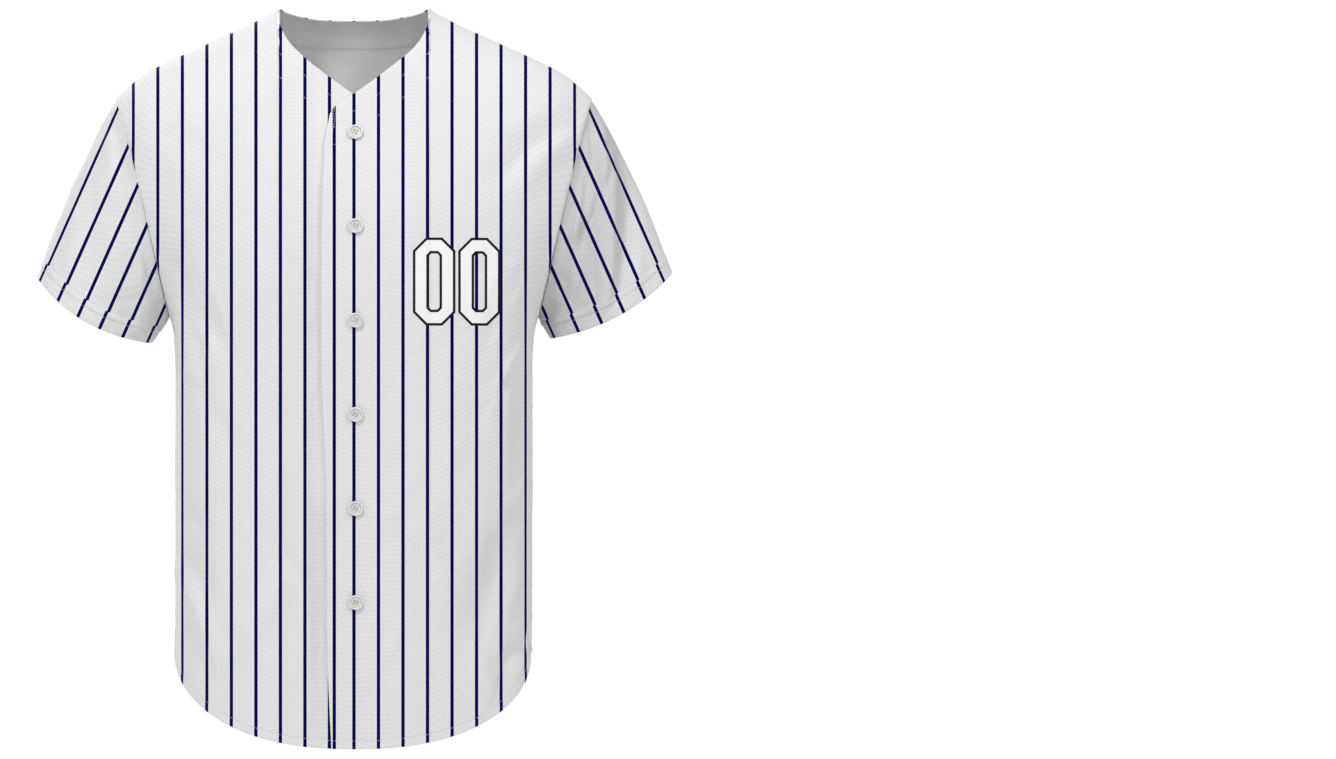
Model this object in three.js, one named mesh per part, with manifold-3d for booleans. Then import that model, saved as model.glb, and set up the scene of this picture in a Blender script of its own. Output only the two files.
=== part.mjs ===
// A full-button baseball jersey of adult size medium, filled out as if worn, with nobody in it.
// Millimetres, +Z up. The front faces -Y and +X is the wearer's left.
// The origin is the middle of the neck opening, level with the inner ends of the shoulder seams.

import * as THREE from 'three';
import { mergeVertices } from 'three/addons/utils/BufferGeometryUtils.js';
import Module from 'manifold-3d';

const wasm = await Module();
wasm.setup();

// Driving dimensions of the cloth
const WALL = 1.6;
const SEAM_GAP = 0.3;
const MITRE_LIMIT = 2;

// Outline of the body, seen from the front
const NECK_HALF = 77;
const SHOULDER_SLOPE = 0.453;
const SHOULDER_START = { drop: 3.8, length: 12 };
const SHOULDER_BEND_FROM = 200;
const SHOULDER_BEND = 0.0065;
const TIP_X = 247;
const ARMPIT = { x: 190, z: -321 };
const ARMHOLE_LEAN = 0.85;
const SIDE_HALF = 184.3;
const ARMPIT_FLARE = 15;
const SIDE_HEM_Z = -665;
const HEM_Z = -758.5;
const HEM_POWER = 2.25;

// Form of the body, seen from the side and from above
const ARMHOLE_HALF_DEPTH = 60;
const SHOULDER_ROUND = 90;
const SIDE_POWER = 3;
const ARMHOLE_POWER = 2.5;
const BODY_DEPTH = [
  { z: 0, front: 72, back: 101 },
  { z: -60, front: 82, back: 104 },
  { z: -90, front: 89, back: 106 },
  { z: -150, front: 103, back: 110 },
  { z: -210, front: 112, back: 114 },
  { z: -300, front: 115, back: 112 },
  { z: -420, front: 110, back: 99 },
  { z: -560, front: 107, back: 98 },
  { z: -700, front: 108, back: 104 },
  { z: -770, front: 108, back: 106 },
];

// Neck edge of a front, from its opening edge up to the shoulder seam.
// hemX is where the column of cloth under each place ends at the hem.
const FRONT_NECK = [
  { x: -23.8, z: -114.2, hemX: -22.5 },
  { x: -16.3, z: -104.8, hemX: -12 },
  { x: 1, z: -93.4, hemX: 1 },
  { x: 24.1, z: -76.9, hemX: 15 },
  { x: 40, z: -64.3, hemX: 29 },
  { x: 56, z: -51, hemX: 42 },
  { x: 68.5, z: -36.5, hemX: 54 },
  { x: 77.2, z: -17, hemX: 66 },
  { x: NECK_HALF, z: 0, hemX: NECK_HALF },
];
const OPENING_EDGE = [
  { z: -114, x: -23.8 },
  { z: -142, x: -29.4 },
  { z: -204, x: -32 },
  { z: -304, x: -32.6 },
  { z: -388, x: -32.2 },
  { z: -488, x: -28 },
  { z: -668, x: -26.7 },
  { z: -757, x: -22.5 },
];
const BACK_NECK_DROP = 7.4;
const BACK_NECK_COLUMNS = 6;

// The right front dips under the left one beside the opening
const UNDERLAP_DIP = 2.8;
const UNDERLAP_FROM = 37;
const UNDERLAP_RAMP = 20;

// Rows and columns of the panels
const ARMHOLE_ROWS = 15;
const SIDE_ROWS = 12;
const SHOULDER_COLUMNS = 12;
const ROWS = ARMHOLE_ROWS + SIDE_ROWS;

// Sleeve
const SLEEVE_ROWS = 8;
const CUFFS = [
  { side: 1, x: 266, z: -308, halfX: 63, halfZ: 34, halfDepth: 58, drop: 12 },
  { side: -1, x: 268, z: -313, halfX: 59, halfZ: 34, halfDepth: 58, drop: 14 },
];
const SLEEVE_BULGE_TOP = 4.5;
const SLEEVE_BULGE_FACE = 3;

// Facing inside the back neck
const FACING_ROWS = 3;
const FACING_WALL = 1;

// Buttons
const BUTTON_COUNT = 6;
const BUTTON_X = 2.5;
const TOP_BUTTON_Z = -134.6;
const BUTTON_SPACING = 95.3;
const BUTTON_SEAT = 0.7;
const BUTTON_TURN = 0.4;
const BUTTON_PROFILE = [
  { r: 0, h: 0 },
  { r: 6.5, h: 0 },
  { r: 7.5, h: 1.1 },
  { r: 7.3, h: 2.4 },
  { r: 6.5, h: 2.8 },
  { r: 5.6, h: 2.1 },
  { r: 4.8, h: 1.6 },
  { r: 0, h: 1.5 },
];
const BUTTON_SIDES = 18;
const THREAD_HOLE = { radius: 0.8, ring: 1.98, sides: 6, length: 6 };

// The largest creases of the body, seen from the front, each from one place to another.
// rise is how far the middle stands out, below zero for a trough.
const BODY_CREASES = [
  { face: 'front', x0: 217, z0: -120, x1: 158, z1: -162, rise: -3.5, width: 15 },
  { face: 'front', x0: 172, z0: -552, x1: 90, z1: -604, rise: -4, width: 18 },
  { face: 'front', x0: 152, z0: -580, x1: 158, z1: -668, rise: -4, width: 15 },
  { face: 'front', x0: -168, z0: -268, x1: -172, z1: -312, rise: -4, width: 17 },
  { face: 'front', x0: -46, z0: -130, x1: -44, z1: -300, rise: -2.2, width: 12 },
  { face: 'front', x0: -42, z0: -560, x1: -38, z1: -740, rise: -2.2, width: 12 },
  { face: 'back', x0: 117, z0: -216, x1: 119, z1: -400, rise: 3, width: 14 },
  { face: 'back', x0: 119, z0: -400, x1: 156, z1: -632, rise: 3.5, width: 15 },
  { face: 'back', x0: 138, z0: -440, x1: 160, z1: -486, rise: -4, width: 14 },
  { face: 'back', x0: 136, z0: -620, x1: 140, z1: -692, rise: -4, width: 17 },
  { face: 'back', x0: -142, z0: -300, x1: -150, z1: -720, rise: -5, width: 20 },
];

// The largest creases of the sleeves. from and to run down the sleeve from 0 to 1, and
// angle and toAngle run round it in degrees from the top over the front.
const SLEEVE_CREASES = [
  { side: 1, angle: 62, toAngle: 40, from: 0.1, to: 0.95, rise: -5, width: 13 },
  { side: 1, angle: 100, toAngle: 82, from: 0.15, to: 0.9, rise: -4, width: 12 },
  { side: 1, angle: 300, toAngle: 316, from: 0.1, to: 0.95, rise: -4, width: 13 },
  { side: -1, angle: 70, toAngle: 60, from: 0.2, to: 0.9, rise: -3, width: 15 },
  { side: -1, angle: 296, toAngle: 306, from: 0.1, to: 0.95, rise: -5, width: 13 },
];

const CLOTH = { color: 0xeeeeef, roughness: 0.9, metalness: 0 };
const LINING = { color: 0xd9d9dc, roughness: 0.9, metalness: 0 };
const BUTTON_PLASTIC = { color: 0xe4e4e6, roughness: 0.35, metalness: 0 };

const lerp = THREE.MathUtils.lerp;
const smooth = (t) => THREE.MathUtils.smoothstep(t, 0, 1);

// Reads a column of a table at a height, by straight lines between its rows.
function atHeight(table, z, column) {
  const last = table.length - 1;
  let i = 1;
  while (i < last && z < table[i].z) i += 1;
  const upper = table[i - 1];
  const lower = table[i];
  const t = THREE.MathUtils.clamp((upper.z - z) / (upper.z - lower.z), 0, 1);
  return lerp(upper[column], lower[column], t);
}

// Height of the shoulder line over a place, carried on across the neck as a low arch.
function shoulderHeight(x) {
  const bend = Math.max(0, x - SHOULDER_BEND_FROM);
  if (x < NECK_HALF) return (SHOULDER_SLOPE * NECK_HALF * (1 - (x / NECK_HALF) ** 2)) / 2;
  const out = x - NECK_HALF;
  const start = SHOULDER_START.drop * (1 - Math.exp(-out / SHOULDER_START.length));
  return -SHOULDER_SLOPE * out - start - SHOULDER_BEND * bend * bend;
}

// Outer edge of a panel: round the armhole from the shoulder tip, then down the side seam.
function outerEdge(row) {
  if (row > ARMHOLE_ROWS) {
    const z = lerp(ARMPIT.z, SIDE_HEM_Z, (row - ARMHOLE_ROWS) / SIDE_ROWS);
    const flare = Math.exp((z - ARMPIT.z) / ARMPIT_FLARE);
    return { x: SIDE_HALF + (ARMPIT.x - SIDE_HALF) * flare, z, depth: 0, power: SIDE_POWER };
  }
  const turn = (Math.PI * row) / ARMHOLE_ROWS;
  const down = (1 - Math.cos(turn)) / 2;
  const x = TIP_X - (TIP_X - ARMPIT.x) * Math.pow(down, ARMHOLE_LEAN);
  const z = lerp(shoulderHeight(TIP_X), ARMPIT.z, down);
  const middle = smooth(2 * down) * smooth(2 - 2 * down);
  const power = lerp(SIDE_POWER, ARMHOLE_POWER, middle);
  return { x, z, depth: ARMHOLE_HALF_DEPTH * Math.sin(turn), power };
}

// Places across the body's cross-section at even steps along the cloth, from under the neck
// point to the side seam, each as its share of the way across between the two.
function hemStations() {
  const STEPS = 4000;
  const depth = atHeight(BODY_DEPTH, HEM_Z, 'front');
  const power = 2 / SIDE_POWER;
  const along = [0];
  const across = [0];
  let previous = new THREE.Vector2(0, depth);
  for (let i = 1; i <= STEPS; i += 1) {
    const turn = (Math.PI / 2) * (i / STEPS);
    const x = SIDE_HALF * Math.pow(Math.sin(turn), power);
    const y = i === STEPS ? 0 : depth * Math.pow(Math.cos(turn), power);
    const here = new THREE.Vector2(x, y);
    along.push(along[i - 1] + here.distanceTo(previous));
    across.push(x);
    previous = here;
  }
  const start = along[across.findIndex((x) => x >= NECK_HALF)];
  const stations = [];
  for (let k = 0; k <= SHOULDER_COLUMNS; k += 1) {
    const wanted = lerp(start, along[STEPS], k / SHOULDER_COLUMNS);
    const i = Math.min(STEPS, along.findIndex((s) => s >= wanted - 1e-9));
    stations.push((across[i] - NECK_HALF) / (SIDE_HALF - NECK_HALF));
  }
  stations[0] = 0;
  stations[SHOULDER_COLUMNS] = 1;
  return stations;
}
const HEM_STATIONS = hemStations();

// Height of the shirt-tail hem at a distance across from the centre: nearly half an ellipse.
function hemHeight(x) {
  const share = Math.min(1, x / SIDE_HALF) ** HEM_POWER;
  return lerp(SIDE_HEM_Z, HEM_Z, Math.sqrt(1 - share));
}

// How far the body stands out from the middle plane, by place, row and face. Each row is part
// of a rounded oblong that is wide enough to meet the row's outer edge at that edge's depth.
function bodyDepth(face, x, z, edge) {
  const below = THREE.MathUtils.clamp((shoulderHeight(Math.abs(x)) - z) / SHOULDER_ROUND, 0, 1);
  const rounded = Math.sqrt(1 - (1 - below) * (1 - below));
  const full = atHeight(BODY_DEPTH, z, face) * rounded;
  const atEdge = Math.min(1, edge.depth / Math.max(full, 1e-6)) ** edge.power;
  const share = Math.min(1, Math.abs(x) / edge.x) ** edge.power;
  return full * Math.pow(1 - share * (1 - atEdge), 1 / edge.power);
}

// One half of a face of the body for +X, as rows of points from the neck down to the hem.
// Its first columns hang from the neck edge and the rest from the shoulder seam.
function halfFace(face, neck) {
  const neckColumns = neck.length - 1;
  const top = neck.map((p) => ({ x: p.x, z: p.z }));
  for (let k = 1; k <= SHOULDER_COLUMNS; k += 1) {
    const x = lerp(NECK_HALF, TIP_X, k / SHOULDER_COLUMNS);
    top.push({ x, z: shoulderHeight(x) });
  }
  const rows = [];
  for (let j = 0; j <= ROWS; j += 1) {
    const edge = outerEdge(j);
    const down = (edge.z - top[top.length - 1].z) / (SIDE_HEM_Z - top[top.length - 1].z);
    const row = [];
    for (let k = 0; k < top.length; k += 1) {
      const outward = k - neckColumns;
      let x;
      let hemX;
      if (outward <= 0) {
        hemX = neck[k].hemX;
        x = lerp(neck[k].x, hemX, down);
      } else {
        const station = HEM_STATIONS[outward];
        hemX = lerp(NECK_HALF, SIDE_HALF, station);
        x = lerp(NECK_HALF, edge.x, lerp(outward / SHOULDER_COLUMNS, station, down));
      }
      const z = lerp(top[k].z, hemHeight(Math.abs(hemX)), down);
      row.push({ x, z, edge });
    }
    if (face === 'front') straightenOpening(row, neckColumns);
    rows.push(row.map((p) => {
      const depth = bodyDepth(face, p.x, p.z, p.edge);
      return vertex(p.x, face === 'front' ? -depth : depth, p.z);
    }));
  }
  return rows;
}

// Shifts the columns beside the opening so that the first one follows the opening edge.
function straightenOpening(row, neckColumns) {
  const shift = atHeight(OPENING_EDGE, row[0].z, 'x') - row[0].x;
  for (let k = 0; k < neckColumns; k += 1) row[k].x += shift * (1 - k / neckColumns);
}

function vertex(x, y, z) {
  return {
    outer: new THREE.Vector3(x, y, z),
    normal: new THREE.Vector3(),
    reach: 1,
    shift: new THREE.Vector3(),
  };
}

const mirrored = (rows) => rows.map((row) => row.map((v) => vertex(-v.outer.x, v.outer.y, v.outer.z)));

// Sets each vertex's outward normal from the faces round it. turned is -1 where the rows and
// columns run the other way round.
function setNormals(rows, turned, closed) {
  rows.flat().forEach((v) => v.normal.set(0, 0, 0));
  forEachQuad(rows, closed, (a, b, c, d) => {
    const first = new THREE.Vector3().subVectors(d.outer, a.outer);
    const second = new THREE.Vector3().subVectors(c.outer, b.outer);
    const facing = first.cross(second).multiplyScalar(turned);
    [a, b, c, d].forEach((v) => v.normal.add(facing));
  });
  rows.flat().forEach((v) => v.normal.normalize());
}

// Calls back with the corners of each quad: here, the next column, the next row, and both.
function forEachQuad(rows, closed, callback) {
  const columns = rows[0].length;
  const quads = closed ? columns : columns - 1;
  for (let j = 0; j + 1 < rows.length; j += 1) {
    for (let k = 0; k < quads; k += 1) {
      const next = (k + 1) % columns;
      callback(rows[j][k], rows[j][next], rows[j + 1][k], rows[j + 1][next]);
    }
  }
}

// How far a place in the (x, z) plane is moved out by a straight crease with soft ends.
function creaseRise(crease, x, z) {
  const dx = crease.x1 - crease.x0;
  const dz = crease.z1 - crease.z0;
  const length = Math.hypot(dx, dz);
  const along = ((x - crease.x0) * dx + (z - crease.z0) * dz) / length;
  const across = ((x - crease.x0) * dz - (z - crease.z0) * dx) / length;
  const past = Math.max(0, -along, along - length) / crease.width;
  const away = across / crease.width;
  return crease.rise * Math.exp(-away * away - past * past);
}

// Moves a panel's points out by the creases of its face, fading to nothing at its outer edge.
function creasePanel(rows, face, sideOf) {
  const creases = BODY_CREASES.filter((c) => c.face === face);
  rows.forEach((row, j) => row.forEach((v, k) => {
    const fromEdge = smooth(sideOf(k) / 2) * smooth(j / 2);
    const rise = creases.reduce((sum, c) => sum + creaseRise(c, v.outer.x, v.outer.z), 0);
    v.outer.addScaledVector(v.normal, rise * fromEdge);
  }));
}

// The right front's dip under the left front.
function dipUnder(rows) {
  rows.flat().forEach((v) => {
    const share = 1 - smooth((-v.outer.x - UNDERLAP_FROM) / UNDERLAP_RAMP);
    v.outer.addScaledVector(v.normal, -UNDERLAP_DIP * share);
  });
}

// A sleeve, on +X where side is 1: rows down the sleeve, columns round it from the shoulder
// tip over the front.
function sleeveRows(side) {
  const count = 2 * ARMHOLE_ROWS;
  const cuff = CUFFS.find((c) => c.side === side);
  const axis = new THREE.Vector3(cuff.halfZ, 0, -cuff.halfX).normalize();
  const outward = new THREE.Vector3(cuff.halfX, 0, cuff.halfZ).normalize();
  const rows = [];
  for (let i = 0; i <= SLEEVE_ROWS; i += 1) {
    const t = i / SLEEVE_ROWS;
    const row = [];
    for (let k = 0; k < count; k += 1) {
      const front = k <= ARMHOLE_ROWS;
      const edge = outerEdge(front ? k : count - k);
      const turn = (Math.PI * k) / ARMHOLE_ROWS;
      const start = new THREE.Vector3(edge.x, front ? -edge.depth : edge.depth, edge.z);
      const end = new THREE.Vector3(
        cuff.x + cuff.halfX * Math.cos(turn),
        -cuff.halfDepth * Math.sin(turn),
        cuff.z + cuff.halfZ * Math.cos(turn),
      );
      end.addScaledVector(axis, cuff.drop * Math.sin(turn) ** 2);
      const away = outward.clone().multiplyScalar(Math.cos(turn));
      away.y = -Math.sin(turn);
      const top = SLEEVE_BULGE_TOP * (1 + Math.cos(turn)) / 2;
      const bulge = top + SLEEVE_BULGE_FACE * Math.sin(turn) ** 2;
      const crease = sleeveCrease(side, t, (180 * k) / ARMHOLE_ROWS);
      const rise = Math.sin(Math.PI * t) * bulge + crease * smooth(4 * t);
      const place = start.lerp(end, t).addScaledVector(away, rise);
      row.push(vertex(side * place.x, place.y, place.z));
    }
    rows.push(row);
  }
  return rows;
}

// How far the creases of a sleeve move a place out.
function sleeveCrease(side, t, angle) {
  const SOFT_END = 0.12;
  return SLEEVE_CREASES.filter((c) => c.side === side).reduce((sum, c) => {
    const along = THREE.MathUtils.clamp((t - c.from) / (c.to - c.from), 0, 1);
    const away = (angle - lerp(c.angle, c.toAngle, along)) / c.width;
    const past = Math.max(0, c.from - t, t - c.to) / SOFT_END;
    return sum + c.rise * Math.exp(-away * away - past * past);
  }, 0);
}

// Makes the pieces that meet at each place of a seam share one normal there.
function shareNormals(groups) {
  groups.forEach((group) => {
    const shared = new THREE.Vector3();
    const body = group[0].normal;
    shared.addVectors(body, group[group.length - 1].normal).normalize();
    const reach = Math.min(MITRE_LIMIT, 1 / Math.max(0.01, shared.dot(body)));
    group.forEach((v) => {
      v.reach = Math.max(v.reach, reach);
    });
    group.forEach((v) => v.normal.copy(shared));
  });
}

// Draws the edges of two pieces apart by the seam gap. nearA and nearB are the next points
// into each piece.
function openSeam(edgeA, nearA, edgeB, nearB) {
  edgeA.forEach((a, i) => {
    const before = edgeA[Math.max(0, i - 1)].outer;
    const after = edgeA[Math.min(edgeA.length - 1, i + 1)].outer;
    const across = new THREE.Vector3().subVectors(after, before).cross(a.normal).normalize();
    const towardsB = new THREE.Vector3().subVectors(nearB[i].outer, nearA[i].outer);
    if (across.dot(towardsB) < 0) across.negate();
    a.shift.addScaledVector(across, -SEAM_GAP / 2);
    edgeB[i].shift.addScaledVector(across, SEAM_GAP / 2);
  });
}

// A closed wall between a sheet's outer points and its inner ones, as one geometry.
// from and depth are how far below the outer points the wall starts and ends.
function wallGeometry(rows, closed, from = 0, depth = WALL) {
  const vertices = rows.flat();
  const at = (v, inward) => v.outer.clone().add(v.shift).addScaledVector(v.normal, -inward * v.reach);
  const places = [...vertices.map((v) => at(v, from)), ...vertices.map((v) => at(v, from + depth))];
  const count = vertices.length;
  const index = new Map(vertices.map((v, i) => [v, i]));
  const faces = [];
  const quad = (a, b, c, d) => faces.push(a, b, c, c, b, d);
  forEachQuad(rows, closed, (a, b, c, d) => {
    const [i, j, k, l] = [a, b, c, d].map((v) => index.get(v));
    quad(i, j, k, l);
    faces.push(...[i, k, j, k, l, j].map((n) => n + count));
  });
  const rim = (edge) => {
    for (let i = 0; i + 1 < edge.length; i += 1) {
      const a = index.get(edge[i]);
      const b = index.get(edge[i + 1]);
      quad(b, a, count + b, count + a);
    }
  };
  const first = rows[0];
  const last = [...rows[rows.length - 1]].reverse();
  if (closed) {
    rim([...first, first[0]]);
    rim([...last, last[0]]);
  } else {
    rim(first);
    rim(rows.map((row) => row[row.length - 1]));
    rim(last);
    rim(rows.map((row) => row[0]).reverse());
  }
  return facingOut(places, faces);
}

// A geometry with its faces turned to point outwards.
function facingOut(places, faces) {
  let volume = 0;
  for (let i = 0; i < faces.length; i += 3) {
    const [a, b, c] = [0, 1, 2].map((n) => places[faces[i + n]]);
    volume += a.dot(new THREE.Vector3().crossVectors(b, c));
  }
  const order = volume < 0 ? [0, 2, 1] : [0, 1, 2];
  const turned = [];
  for (let i = 0; i < faces.length; i += 3) order.forEach((n) => turned.push(faces[i + n]));
  const geometry = new THREE.BufferGeometry().setFromPoints(places);
  geometry.setIndex(turned);
  geometry.computeVertexNormals();
  return geometry;
}

function solidOf(geometry) {
  const bare = geometry.clone();
  bare.deleteAttribute('normal');
  bare.deleteAttribute('uv');
  const merged = mergeVertices(bare, 1e-4);
  return new wasm.Manifold(new wasm.Mesh({
    numProp: 3,
    vertProperties: Float32Array.from(merged.attributes.position.array),
    triVerts: Uint32Array.from(merged.index.array),
  }));
}

function geometryOf(solid) {
  const mesh = solid.getMesh();
  const geometry = new THREE.BufferGeometry();
  geometry.setAttribute('position', new THREE.BufferAttribute(new Float32Array(mesh.vertProperties), 3));
  geometry.setIndex(Array.from(mesh.triVerts));
  geometry.computeVertexNormals();
  return geometry;
}

// A dished four-hole button about the Z axis, its flat back at z = 0.
function buttonGeometry() {
  const profile = BUTTON_PROFILE.map((p) => new THREE.Vector2(p.r, p.h));
  const disc = new THREE.LatheGeometry(profile, BUTTON_SIDES).rotateX(Math.PI / 2);
  let solid = solidOf(disc);
  for (let i = 0; i < 4; i += 1) {
    const turn = BUTTON_TURN + (Math.PI / 2) * i;
    const hole = new THREE.CylinderGeometry(
      THREAD_HOLE.radius, THREAD_HOLE.radius, THREAD_HOLE.length, THREAD_HOLE.sides,
    );
    hole.rotateX(Math.PI / 2);
    hole.translate(THREAD_HOLE.ring * Math.cos(turn), THREAD_HOLE.ring * Math.sin(turn), 0);
    solid = solid.subtract(solidOf(hole));
  }
  return geometryOf(solid);
}

function piece(name, geometry, look) {
  const mesh = new THREE.Mesh(geometry, new THREE.MeshStandardMaterial(look));
  mesh.name = name;
  return mesh;
}

// The four kinds of panel, as rows of points on their outer sides
const frontLeft = halfFace('front', FRONT_NECK);
const frontRight = mirrored(frontLeft);
const backNeck = [];
for (let k = 0; k <= BACK_NECK_COLUMNS; k += 1) {
  const x = (NECK_HALF * k) / BACK_NECK_COLUMNS;
  backNeck.push({ x, z: -BACK_NECK_DROP * (1 - (k / BACK_NECK_COLUMNS) ** 3), hemX: x });
}
const backLeftHalf = halfFace('back', backNeck);
const back = backLeftHalf.map((row, j) => [
  ...mirrored([row.slice(1)])[0].reverse(),
  ...backLeftHalf[j],
]);
const sleeves = { left: sleeveRows(1), right: sleeveRows(-1) };

setNormals(frontLeft, -1, false);
setNormals(frontRight, 1, false);
setNormals(back, 1, false);

// Creases move the points, so the normals are worked out again after them
const frontColumns = frontLeft[0].length - 1;
const backColumns = back[0].length - 1;
creasePanel(frontLeft, 'front', (k) => frontColumns - k);
creasePanel(frontRight, 'front', (k) => frontColumns - k);
creasePanel(back, 'back', (k) => Math.min(k, backColumns - k));
dipUnder(frontRight);
setNormals(frontLeft, -1, false);
setNormals(frontRight, 1, false);
setNormals(back, 1, false);
setNormals(sleeves.left, 1, true);
setNormals(sleeves.right, -1, true);

// Seams, side by side for the wearer's left and right
const sides = [
  { front: frontLeft, sleeve: sleeves.left, backEdge: backColumns, step: -1 },
  { front: frontRight, sleeve: sleeves.right, backEdge: 0, step: 1 },
];
sides.forEach(({ front, sleeve, backEdge, step }) => {
  const frontEdge = front.map((row) => row[frontColumns]);
  const frontNear = front.map((row) => row[frontColumns - 1]);
  const backEdgeColumn = back.map((row) => row[backEdge]);
  const backNear = back.map((row) => row[backEdge + step]);
  const shoulder = { front: [], frontNear: [], back: [], backNear: [] };
  for (let k = 0; k <= SHOULDER_COLUMNS; k += 1) {
    shoulder.front.push(front[0][frontColumns - k]);
    shoulder.frontNear.push(front[1][frontColumns - k]);
    shoulder.back.push(back[0][backEdge + step * k]);
    shoulder.backNear.push(back[1][backEdge + step * k]);
  }
  shareNormals(shoulder.front.map((v, i) => [v, shoulder.back[i]]));
  const below = frontEdge.slice(ARMHOLE_ROWS);
  const belowNear = frontNear.slice(ARMHOLE_ROWS);
  const backBelow = backEdgeColumn.slice(ARMHOLE_ROWS);
  const backBelowNear = backNear.slice(ARMHOLE_ROWS);
  shareNormals(below.map((v, i) => [v, backBelow[i]]));
  const ring = sleeve[0];
  const count = ring.length;
  shareNormals(ring.map((v, k) => {
    if (k === 0 || k === ARMHOLE_ROWS) return [frontEdge[k], backEdgeColumn[k], v];
    return k < ARMHOLE_ROWS ? [frontEdge[k], v] : [backEdgeColumn[count - k], v];
  }));
  openSeam(shoulder.front, shoulder.frontNear, shoulder.back, shoulder.backNear);
  openSeam(below, belowNear, backBelow, backBelowNear);
  const frontHole = frontEdge.slice(0, ARMHOLE_ROWS + 1);
  const frontHoleNear = frontNear.slice(0, ARMHOLE_ROWS + 1);
  const backHole = backEdgeColumn.slice(0, ARMHOLE_ROWS + 1);
  const backHoleNear = backNear.slice(0, ARMHOLE_ROWS + 1);
  const frontRing = ring.slice(0, ARMHOLE_ROWS + 1);
  const frontRingNear = sleeve[1].slice(0, ARMHOLE_ROWS + 1);
  const backRing = [ring[0], ...ring.slice(ARMHOLE_ROWS).reverse()];
  const backRingNear = [sleeve[1][0], ...sleeve[1].slice(ARMHOLE_ROWS).reverse()];
  openSeam(frontHole, frontHoleNear, frontRing, frontRingNear);
  openSeam(backHole, backHoleNear, backRing, backRingNear);
});

const jersey = new THREE.Group();
jersey.name = 'baseball_jersey';
const leftFront = piece('front_left', wallGeometry(frontLeft, false), CLOTH);
jersey.add(leftFront);
jersey.add(piece('front_right', wallGeometry(frontRight, false), CLOTH));
jersey.add(piece('back', wallGeometry(back, false), CLOTH));
jersey.add(piece('sleeve_left', wallGeometry(sleeves.left, true), CLOTH));
jersey.add(piece('sleeve_right', wallGeometry(sleeves.right, true), CLOTH));

const facing = back.slice(0, FACING_ROWS + 1).map((row) => (
  row.slice(SHOULDER_COLUMNS, row.length - SHOULDER_COLUMNS)
));
jersey.add(piece('neck_facing', wallGeometry(facing, false, WALL + SEAM_GAP, FACING_WALL), LINING));

// Each button lies on the left front where a line straight back from the front meets it
const disc = buttonGeometry();
for (let i = 0; i < BUTTON_COUNT; i += 1) {
  const origin = new THREE.Vector3(BUTTON_X, -1000, TOP_BUTTON_Z - BUTTON_SPACING * i);
  const ray = new THREE.Raycaster(origin, new THREE.Vector3(0, 1, 0));
  const hit = ray.intersectObject(leftFront, false)[0];
  const button = piece(`button_${i + 1}`, disc, BUTTON_PLASTIC);
  button.quaternion.setFromUnitVectors(new THREE.Vector3(0, 0, 1), hit.face.normal);
  button.position.copy(hit.point).addScaledVector(hit.face.normal, BUTTON_SEAT);
  jersey.add(button);
}

export default jersey;
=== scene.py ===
"""The looks of a full-button baseball jersey, filled out as if worn, with nobody in it.

Blender's scene is in metres. Sizes in this file are millimetres, turned into metres where a
mesh is made. +Z is up, the front faces -Y and +X is the wearer's left. The origin is the
middle of the neck opening, level with the inner ends of the shoulder seams.
"""

import logging
from dataclasses import astuple, dataclass, field
from enum import Enum

import bpy
import numpy as np
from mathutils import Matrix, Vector


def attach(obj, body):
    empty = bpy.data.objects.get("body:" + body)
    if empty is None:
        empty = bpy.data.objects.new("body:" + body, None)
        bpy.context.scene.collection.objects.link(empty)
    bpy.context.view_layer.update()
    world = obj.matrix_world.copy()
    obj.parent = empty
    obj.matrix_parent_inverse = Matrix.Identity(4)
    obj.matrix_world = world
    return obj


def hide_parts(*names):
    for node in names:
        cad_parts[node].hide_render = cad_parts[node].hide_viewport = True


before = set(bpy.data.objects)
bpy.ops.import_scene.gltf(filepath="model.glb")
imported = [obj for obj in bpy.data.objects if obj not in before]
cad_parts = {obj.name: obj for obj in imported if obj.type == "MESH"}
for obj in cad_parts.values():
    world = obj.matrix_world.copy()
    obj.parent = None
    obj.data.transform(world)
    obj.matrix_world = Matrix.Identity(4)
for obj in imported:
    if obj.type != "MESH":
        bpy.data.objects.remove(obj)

Array = np.ndarray
Fields = dict[str, Array]
Colour = tuple[float, float, float, float]
Socket = bpy.types.NodeSocket
Sockets = bpy.types.bpy_prop_collection

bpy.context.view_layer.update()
MM = 0.001
LOG = logging.getLogger("jersey")

# The inputs of the block number's group besides its place, in NumberPlace's order.
NUMBER_INPUTS = ("Centre X", "Centre Z", "Apart", "Half Width", "Half Height", "Stroke", "Outline")


class Side(Enum):
    """The wearer's side that a piece is on; the value is the sign of its X."""

    LEFT = 1
    RIGHT = -1


class Face(Enum):
    """The face of the body that a panel is on; the value is the sign of its Y."""

    FRONT = -1
    BACK = 1


def smooth(t: Array) -> Array:
    """Return the smooth step 3t^2 - 2t^3 of t held between 0 and 1."""
    held = np.clip(t, 0.0, 1.0)
    return held * held * (3.0 - 2.0 * held)


def lerp(a: Array, b: Array, t: Array) -> Array:
    """Return the value a share t of the way from a to b."""
    return a + (b - a) * t


def unit(vectors: Array) -> Array:
    """Return vectors scaled to length 1 along their last axis."""
    length = np.linalg.norm(vectors, axis=-1, keepdims=True)
    return vectors / np.maximum(length, 1e-12)


def along_steps(points: Array, axis: int) -> Array:
    """Measure how far each point of a grid lies along its own row or column.

    Args:
        points: Grid of points, rows by columns by 3.
        axis: 0 to measure down the columns, 1 along the rows.

    Returns:
        Grid of distances, 0 at the first row or column.
    """
    step = np.linalg.norm(np.diff(points, axis=axis), axis=-1)
    start = np.zeros_like(points[:1, :, 0] if axis == 0 else points[:, :1, 0])
    return np.concatenate([start, np.cumsum(step, axis=axis)], axis=axis)


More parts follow.
